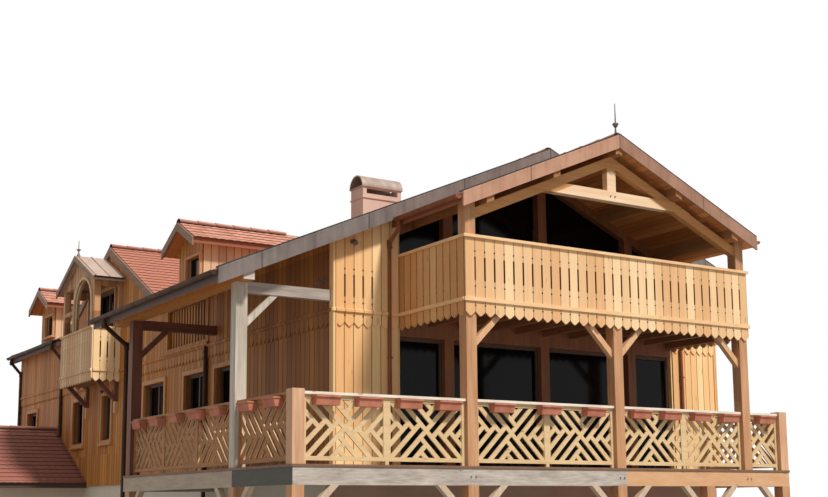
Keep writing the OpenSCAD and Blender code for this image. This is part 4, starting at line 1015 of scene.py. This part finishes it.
class CHALET_OT_roof_tiles(ChaletOperator, bpy.types.Operator):
    """Lays clay tiles on every slope and half-round caps on the ridges"""
    bl_idname = "chalet.roof_tiles"
    bl_label = "Roof tiles"

    def execute(self, context):
        left, right, cross, front, annexe = (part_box(name) for name in (
            "main_roof_left", "main_roof_right", "cross_gable_roof", "front_roof", "annexe_roof"))
        near, far = left[0].y, left[1].y
        annexe_y = (annexe[0].y + annexe[1].y) / 2
        eave, terrace_end, dormer_run = -4.565, 7.42, 0.84
        everywhere = lambda p: True
        above = lambda p: p.z > roof_top(p.x) - 0.05 or p.x < eave

        def on_left(p):
            if p.x < eave and p.y > terrace_end:
                return False
            return not (p.x < cross[0].x + 0.275 and cross[0].y < p.y < cross[1].y)

        for name, side, ridge, y0, y1, run, keep in (
                ("main_left", -1, RIDGE_TOP, near, far, -left[0].x, on_left),
                ("main_right", 1, RIDGE_TOP, near, far, right[1].x, everywhere),
                ("front_left", -1, front[1].z, front[0].y, near - 0.035, -front[0].x, everywhere),
                ("front_right", 1, front[1].z, front[0].y, near - 0.035, -front[0].x, everywhere)):
            down = Vector((side, 0, -ROOF_PITCH))
            self.lay(name, [((0, y0, ridge), (0, 1, 0), down, y1 - y0, run)], keep)
        for name, y, ridge, run, x0, x1, pitch, keep in (
                ("cross", CROSS_Y, cross[1].z, (cross[1].y - cross[0].y) / 2, cross[0].x, -0.35,
                 GABLE_PITCH, above),
                ("dormer_near", *DORMERS[0], dormer_run, DORMER_FRONT, -1.3, GABLE_PITCH, above),
                ("dormer_far", *DORMERS[1], dormer_run, DORMER_FRONT, -1.0, GABLE_PITCH, above),
                ("annexe", annexe_y, annexe[1].z, annexe[1].y - annexe_y, annexe[0].x, annexe[1].x,
                 ANNEXE_PITCH, everywhere)):
            self.lay(name, [((x0, y, ridge), (1, 0, 0), Vector((0, side, -pitch)), x1 - x0, run)
                            for side in (-1, 1)], keep)
        self.caps([((0, near + 0.01), (0, far - 0.01), RIDGE_TOP),
                   ((0, -0.26), (0, 1.53), front[1].z),
                   ((-4.3, CROSS_Y), (-0.4, CROSS_Y), cross[1].z),
                   ((-4.58, DORMERS[0][0]), (-2.2, DORMERS[0][0]), DORMERS[0][1]),
                   ((-4.58, DORMERS[1][0]), (-1.05, DORMERS[1][0]), DORMERS[1][1]),
                   ((-7.87, annexe_y), (-4.3, annexe_y), annexe[1].z)])
        return {"FINISHED"}

    def lay(self, name, slopes, keep):
        """Tiles on one or two slopes, as one piece."""
        s = self.sizes
        group = bpy.data.node_groups.get("Tiles") or copies_tree(
            "Tiles", tile_shape, "Tile width", "Tile length", "Roll", "Tile thickness")
        rows = [row for slope in slopes for row in tile_points(*slope, s.tile_width, s.tile_course, keep)]
        finish = "Annexe tiles" if name == "annexe" else "Clay tiles"
        grow("tiles_" + name, rows, group, finish, "roof_tile", tile_width=s.tile_width + 0.008,
             tile_length=s.tile_course + 0.04, roll=0.005, tile_thickness=0.018)

    def caps(self, ridges):
        """Half-round caps along every ridge, each a little wider than the end of the last."""
        pitch, wide, narrow, wall, flat, arc = 0.4, 0.115, 0.10, 0.015, 0.8, 8
        turns = [(math.cos(math.pi * k / arc), math.sin(math.pi * k / arc)) for k in range(arc + 1)]
        bm = bmesh.new()
        for start, end, height in ridges:
            start, end = (Vector((*xy, height)) for xy in (start, end))
            side = (end - start).normalized().cross(Vector((0, 0, 1)))
            count = round((end - start).length / pitch)
            step = (end - start) / count
            for i in range(count):
                outer_a, inner_a, outer_b, inner_b = (
                    [bm.verts.new(at + side * across * r + Vector((0, 0, up * r * flat - 0.005)))
                     for across, up in turns]
                    for at, radius in ((start + step * i, wide), (start + step * (i + 1.06), narrow))
                    for r in (radius, radius - wall))
                for k in range(arc):
                    bm.faces.new((outer_a[k], outer_a[k + 1], outer_b[k + 1], outer_b[k]))
                    bm.faces.new((inner_a[k + 1], inner_a[k], inner_b[k], inner_b[k + 1]))
                    bm.faces.new((outer_a[k + 1], outer_a[k], inner_a[k], inner_a[k + 1]))
                    bm.faces.new((outer_b[k], outer_b[k + 1], inner_b[k + 1], inner_b[k]))
                for k in (0, arc):
                    bm.faces.new((outer_a[k], outer_b[k], inner_b[k], inner_a[k]))
        place_drawing("ridge_caps", bm, "Clay tiles")


class CHALET_OT_roof_edges(ChaletOperator, bpy.types.Operator):
    """Folds sheet metal over the edges of the roofs, on top of the barge boards"""
    bl_idname = "chalet.roof_edges"
    bl_label = "Roof edges"

    def execute(self, context):
        left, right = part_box("main_roof_left"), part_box("main_roof_right")
        boards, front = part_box("main_barge_boards"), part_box("front_roof")
        main = [(y, way, side, eave, RIDGE_TOP) for y, way in ((boards[0].y, 1), (boards[1].y, -1))
                for side, eave in ((-1, -left[0].x if way > 0 else 0.285 - WALL_LEFT), (1, right[1].x))]
        small = [(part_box("front_barge_boards")[0].y, 1, side, front[1].x, front[1].z) for side in (-1, 1)]
        for name, places, metal in (("main", main, "Edge metal"), ("front", small, "Front edge metal")):
            for part, low, high, finish in (("edges", -0.001, 0.044, metal),
                                            ("rims", 0.044, 0.067, "Dark iron")):
                bm = bmesh.new()
                for y, way, side, eave, ridge in places:
                    foot = (side * eave, y, ridge - ROOF_PITCH * eave)
                    bar(bm, (0, y, ridge), foot, (0, way * 0.12, 0), low, high)
                place_drawing(f"{name}_{part}", bm, finish, 0.003)
        return {"FINISHED"}


# ---- windows and doors ----

def wall_box(axis, wall, out):
    """Turns places on a wall (along it, up, out of it) into corners of a box; axis is the one it faces."""
    def make(u0, u1, z0, z1, d0, d1):
        d0, d1 = sorted((wall + out * d0, wall + out * d1))
        return ((d0, u0, z0), (d1, u1, z1)) if axis == "x" else ((u0, d0, z0), (u1, d1, z1))
    return make


def frame_boxes(make, hole, width):
    """The boards round a window and its sill."""
    near, far, sill, head = hole
    low, proud = sill - width, 0.062
    return [make(near - width, near, low, head + width, 0.0, proud),
            make(far, far + width, low, head + width, 0.0, proud),
            make(near, far, head, head + width, 0.0, proud),
            make(near - width - 0.03, far + width + 0.03, low - 0.03, low + 0.02, 0.0, proud + 0.04),
            make(near, far, low + 0.02, sill, 0.0, proud)]


def sash_boxes(make, hole):
    """The two casements in a window."""
    near, far, sill, head = hole
    rail, middle = 0.055, (near + far) / 2
    return [make(*place, -0.13, -0.07) for place in (
        (near, near + rail, sill, head), (far - rail, far, sill, head),
        (near + rail, far - rail, sill, sill + rail), (near + rail, far - rail, head - rail, head),
        (middle - rail / 2, middle + rail / 2, sill + rail, head - rail))]


class CHALET_OT_window_frames(ChaletOperator, bpy.types.Operator):
    """Frames, sills and sashes for the windows, and bars for the upper opening"""
    bl_idname = "chalet.window_frames"
    bl_label = "Window frames"

    def execute(self, context):
        width, bars = self.sizes.frame_width, 14
        left, right = wall_box("x", WALL_LEFT, -1), wall_box("x", WALL_RIGHT, 1)
        back, dormer = wall_box("y", WALL_BACK, 1), wall_box("x", WALL_LEFT - 0.01, -1)
        places = [(make, hole) for hole in SIDE_WINDOWS for make in (left, right)]
        places += [(back, hole) for hole in BACK_HOLES] + [(left, LOGGIA_DOOR)]
        boxes = [box for place in places for box in frame_boxes(*place, width)]
        place_blocks("window_frames", boxes, "Window frames")
        boxes = [box for place in places for box in sash_boxes(*place)]
        place_blocks("window_sashes", boxes, "Window sashes")
        boxes = [box for place in DORMERS for box in frame_boxes(dormer, dormer_window(*place), 0.05)]
        place_blocks("dormer_frames", boxes, "Window frames", 0.004)
        near, far, sill, head = UPPER_OPENING
        boxes = []
        for make in (left, right):
            boxes += frame_boxes(make, UPPER_OPENING, width)
            boxes += [make(u - 0.04, u + 0.04, sill, head, -0.05, -0.02)
                      for u in board_middles(near, far, (far - near) / bars)[1]]
        place_blocks("barred_openings", boxes, "Wall larch", 0.004)
        return {"FINISHED"}


class CHALET_OT_glazed_front(ChaletOperator, bpy.types.Operator):
    """Door frames and rails for the glazed wall behind the balcony and the terrace"""
    bl_idname = "chalet.glazed_front"
    bl_label = "Glazed front"

    def execute(self, context):
        y1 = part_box("front_glazing")[0].y
        y0, rail = y1 - 0.05, 0.10
        foot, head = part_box("front_bays")[0].z + 0.045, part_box("front_lintel")[0].z
        boxes = []
        for x0, x1 in GLAZED_BAYS:
            slope = roof_under(max(abs(x0), abs(x1))) - 0.34
            for z0, z1, stile in ((foot, head, 0.045), (FLOOR_TOP + 0.02, slope, 0.035)):
                if z1 > z0:
                    boxes += [((x0, y0, z0), (x0 + stile, y1, z1)), ((x1 - stile, y0, z0), (x1, y1, z1))]
                boxes.append(((x0 + stile, y0, z0), (x1 - stile, y1, z0 + rail)))
            boxes.append(((x0 + 0.045, y0, head - 0.06), (x1 - 0.045, y1, head)))
        place_blocks("glazing_frames", boxes, "Window sashes", 0.005)
        return {"FINISHED"}


# ---- terraces, metalwork and trim ----

class CHALET_OT_decking(ChaletOperator, bpy.types.Operator):
    """Boards on the terrace and on the balcony floor"""
    bl_idname = "chalet.decking"
    bl_label = "Decking"

    def execute(self, context):
        tree = copies_tree("Deck boards", board_shape)
        for name, node, across in (("deck_boards_front", "front_deck", 1),
                                   ("deck_boards_side", "side_deck", 0),
                                   ("balcony_floorboards", "balcony_floor", 1)):
            low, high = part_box(node)
            step, middles = board_middles(low[across], high[across], self.sizes.deck_board)
            rows = []
            for middle in middles:
                place, size = (low + high) / 2, [0.0, 0.0, 0.012]
                place[across], place.z = middle, high.z
                size[across], size[1 - across] = step - 0.008, high[1 - across] - low[1 - across]
                rows.append((place, size, (0, 0, 0)))
            grow(name, rows, tree, "Terrace boards", "grey_timber")
        near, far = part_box("front_deck")
        x0, y0, x1 = near.x, near.y, far.x
        low, high, out = DECK_TOP - 0.028, DECK_TOP + 0.012, 0.014
        edges = [((x0 - out, y0 - out, low), (x1 + out, y0, high)),
                 ((x0 - out, y0, low), (x0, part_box("side_deck")[1].y, high)),
                 ((x1, y0, low), (x1 + out, WALL_FRONT, high))]
        place_blocks("deck_edges", edges, "Deck edge timber", 0.004)
        return {"FINISHED"}


class CHALET_OT_metalwork(ChaletOperator, bpy.types.Operator):
    """Bolt heads at the timber joints, roof seams, pipe clips and wall lamps"""
    bl_idname = "chalet.metalwork"
    bl_label = "Metalwork"

    def execute(self, context):
        places = [(x + dx, -0.1, 2.40) for x in (-2.955, 0.0, 2.955) for dx in (-0.045, 0.045)]
        places += [(x, -0.085, 7.10) for x in (-0.05, 0.05)]
        heads = copies_tree("Bolt heads", head_shape, "Head radius", "Head depth")
        grow("bolt_heads", [(place, (1, 1, 1), (0, 0, 0)) for place in places], heads, "Edge metal", "zinc",
             head_radius=self.sizes.bolt_radius, head_depth=0.02)
        self.seams()
        self.clips()
        self.lamps()
        return {"FINISHED"}

    def seams(self):
        """Three raised seams down each slope of the loggia's roof."""
        low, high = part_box("loggia_roof")
        half = (high.y - low.y) / 2
        size = (0.02, 0.045, math.hypot(half, half * LOGGIA_PITCH))
        xs = [low.x + 0.05 + i * (high.x - low.x - 0.12) / 2 for i in range(3)]
        rows = [((x, low.y + half, high.z), size, (math.pi + side * math.atan2(1.0, LOGGIA_PITCH), 0, 0))
                for side in (-1, 1) for x in xs]
        grow("loggia_seams", rows, copies_tree("Roof seams", board_shape), "Loggia metal", "copper")

    def clips(self):
        """A clip with a bolt round each pipe, at every two metres and under its neck."""
        level, bolt_way = Matrix.Identity(4), Matrix.Rotation(math.pi / 2, 4, "X")
        bm = bmesh.new()
        for points in islands("downpipes"):
            low = span(points)[0]
            foot = span([p for p in points if p.z < low.z + 0.02])
            middle, radius = (foot[0] + foot[1]) / 2, (foot[1].x - foot[0].x) / 2
            top = max(p.z for p in points if (p.xy - middle.xy).length < radius * 1.2) - 0.12
            count = max(1, round((top - low.z) / 2.0))
            for i in range(count):
                z = top - i * (top - low.z) / count
                drum(bm, (middle.x, middle.y, z), level, 0.035, radius + 0.007, segments=20)
                drum(bm, (middle.x + radius + 0.012, middle.y, z), bolt_way, 0.05, 0.01, segments=6)
        place_drawing("pipe_clips", bm, "Browned copper")

    def lamps(self):
        """Small tilting lamps on the walls: a plate, an arm and a shade."""
        bm = bmesh.new()
        upright = Vector((0, 0, 1))
        for place, out, tilt in (((-3.974, WALL_FRONT - 0.04, 6.237), (0, -1, 0), 50),
                                 ((WALL_LEFT - 0.04, 2.10, 5.60), (-1, 0, 0), 60),
                                 ((WALL_LEFT - 0.02, 12.954, 4.70), (-1, 0, 0), 35)):
            place, out, tilt = Vector(place), Vector(out), math.radians(tilt)
            lean = (out * math.cos(tilt) - upright * math.sin(tilt)).normalized()
            flat, shade = (upright.rotation_difference(way).to_matrix().to_4x4() for way in (out, lean))
            drum(bm, place + out * 0.01, flat, 0.02, 0.04, 0.036)
            drum(bm, place + out * 0.045, flat, 0.06, 0.01)
            drum(bm, place + out * 0.08 + lean * 0.025, shade, 0.08, 0.022, 0.046)
        place_drawing("wall_lamps", bm, "Edge metal")


class CHALET_OT_loggia_trim(ChaletOperator, bpy.types.Operator):
    """Frames the loggia's round arch, with a jamb down each side"""
    bl_idname = "chalet.loggia_trim"
    bl_label = "Loggia trim"

    def execute(self, context):
        x0, x1 = (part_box("loggia_arch")[0].x + dx for dx in (-0.03, 0.05))
        inner, outer, steps = ARCH_RADIUS - 0.012, ARCH_RADIUS + 0.055, 24
        bm = bmesh.new()
        rings = [[bm.verts.new((x, ARCH_CENTRE + math.cos(a) * r, ARCH_SPRING + math.sin(a) * r))
                  for x, r in ((x0, inner), (x0, outer), (x1, outer), (x1, inner))]
                 for a in (math.pi * i / steps for i in range(steps + 1))]
        for a, b in zip(rings, rings[1:]):
            for k in range(4):
                bm.faces.new((a[k], a[(k + 1) % 4], b[(k + 1) % 4], b[k]))
        bm.faces.new(rings[0])
        bm.faces.new(rings[-1][::-1])
        for side in (-1, 1):
            y0, y1 = sorted(ARCH_CENTRE + side * r for r in (inner, outer))
            block(bm, (x0, y0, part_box("loggia_boards")[1].z), (x1, y1, ARCH_SPRING))
        place_drawing("arch_trim", bm, "Loggia larch")
        return {"FINISHED"}


class CHALET_OT_pots(ChaletOperator, bpy.types.Operator):
    """Gives each flower box a thick rim and dark earth"""
    bl_idname = "chalet.pots"
    bl_label = "Flower boxes"

    def execute(self, context):
        rim, lip, rims, earth = 0.012, 0.022, [], []
        for low, high in map(span, islands("flower_boxes")):
            (a0, b0), (a1, b1) = (low.x - rim, low.y - rim), (high.x + rim, high.y + rim)
            (x0, y0), (x1, y1) = (low.x + rim, low.y + rim), (high.x - rim, high.y - rim)
            z0, z1 = high.z - lip, high.z + 0.004
            rims += [((a0, b0, z0), (a1, y0, z1)), ((a0, y1, z0), (a1, b1, z1)),
                     ((a0, y0, z0), (x0, y1, z1)), ((x1, y0, z0), (a1, y1, z1))]
            earth.append(((x0, y0, high.z - 0.02), (x1, y1, high.z + 0.001)))
        place_blocks("pot_rims", rims, "Terracotta", 0.003)
        place_blocks("pot_earth", earth, "Dark iron", 0.004)
        return {"FINISHED"}


class CHALET_PT_panel(bpy.types.Panel):
    """Lists the house's operators, sizes and colours"""
    bl_idname = "CHALET_PT_panel"
    bl_label = "Chalet"
    bl_space_type = "VIEW_3D"
    bl_region_type = "UI"
    bl_category = "Chalet"

    def draw(self, context):
        for operator in OPERATORS:
            self.layout.operator(operator.bl_idname)
        for group in (context.scene.chalet_sizes, context.scene.chalet_colours):
            for name in group.bl_rna.properties.keys():
                if name not in ("rna_type", "name"):
                    self.layout.prop(group, name)


OPERATORS = (CHALET_OT_stage, CHALET_OT_finishes, CHALET_OT_wall_boards, CHALET_OT_roof_tiles,
             CHALET_OT_roof_edges, CHALET_OT_window_frames, CHALET_OT_glazed_front, CHALET_OT_decking,
             CHALET_OT_metalwork, CHALET_OT_loggia_trim, CHALET_OT_pots)


def register():
    for cls in (ChaletSizes, ChaletColours, *OPERATORS, CHALET_PT_panel):
        bpy.utils.register_class(cls)
    bpy.types.Scene.chalet_sizes = PointerProperty(type=ChaletSizes)
    bpy.types.Scene.chalet_colours = PointerProperty(type=ChaletColours)


def unregister():
    del bpy.types.Scene.chalet_colours
    del bpy.types.Scene.chalet_sizes
    for cls in (CHALET_PT_panel, *reversed(OPERATORS), ChaletColours, ChaletSizes):
        bpy.utils.unregister_class(cls)


def main():
    """Runs the operators in order."""
    register()
    for operator in OPERATORS:
        group, name = operator.bl_idname.split(".")
        getattr(getattr(bpy.ops, group), name)()
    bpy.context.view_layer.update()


if __name__ == "__main__":
    main()
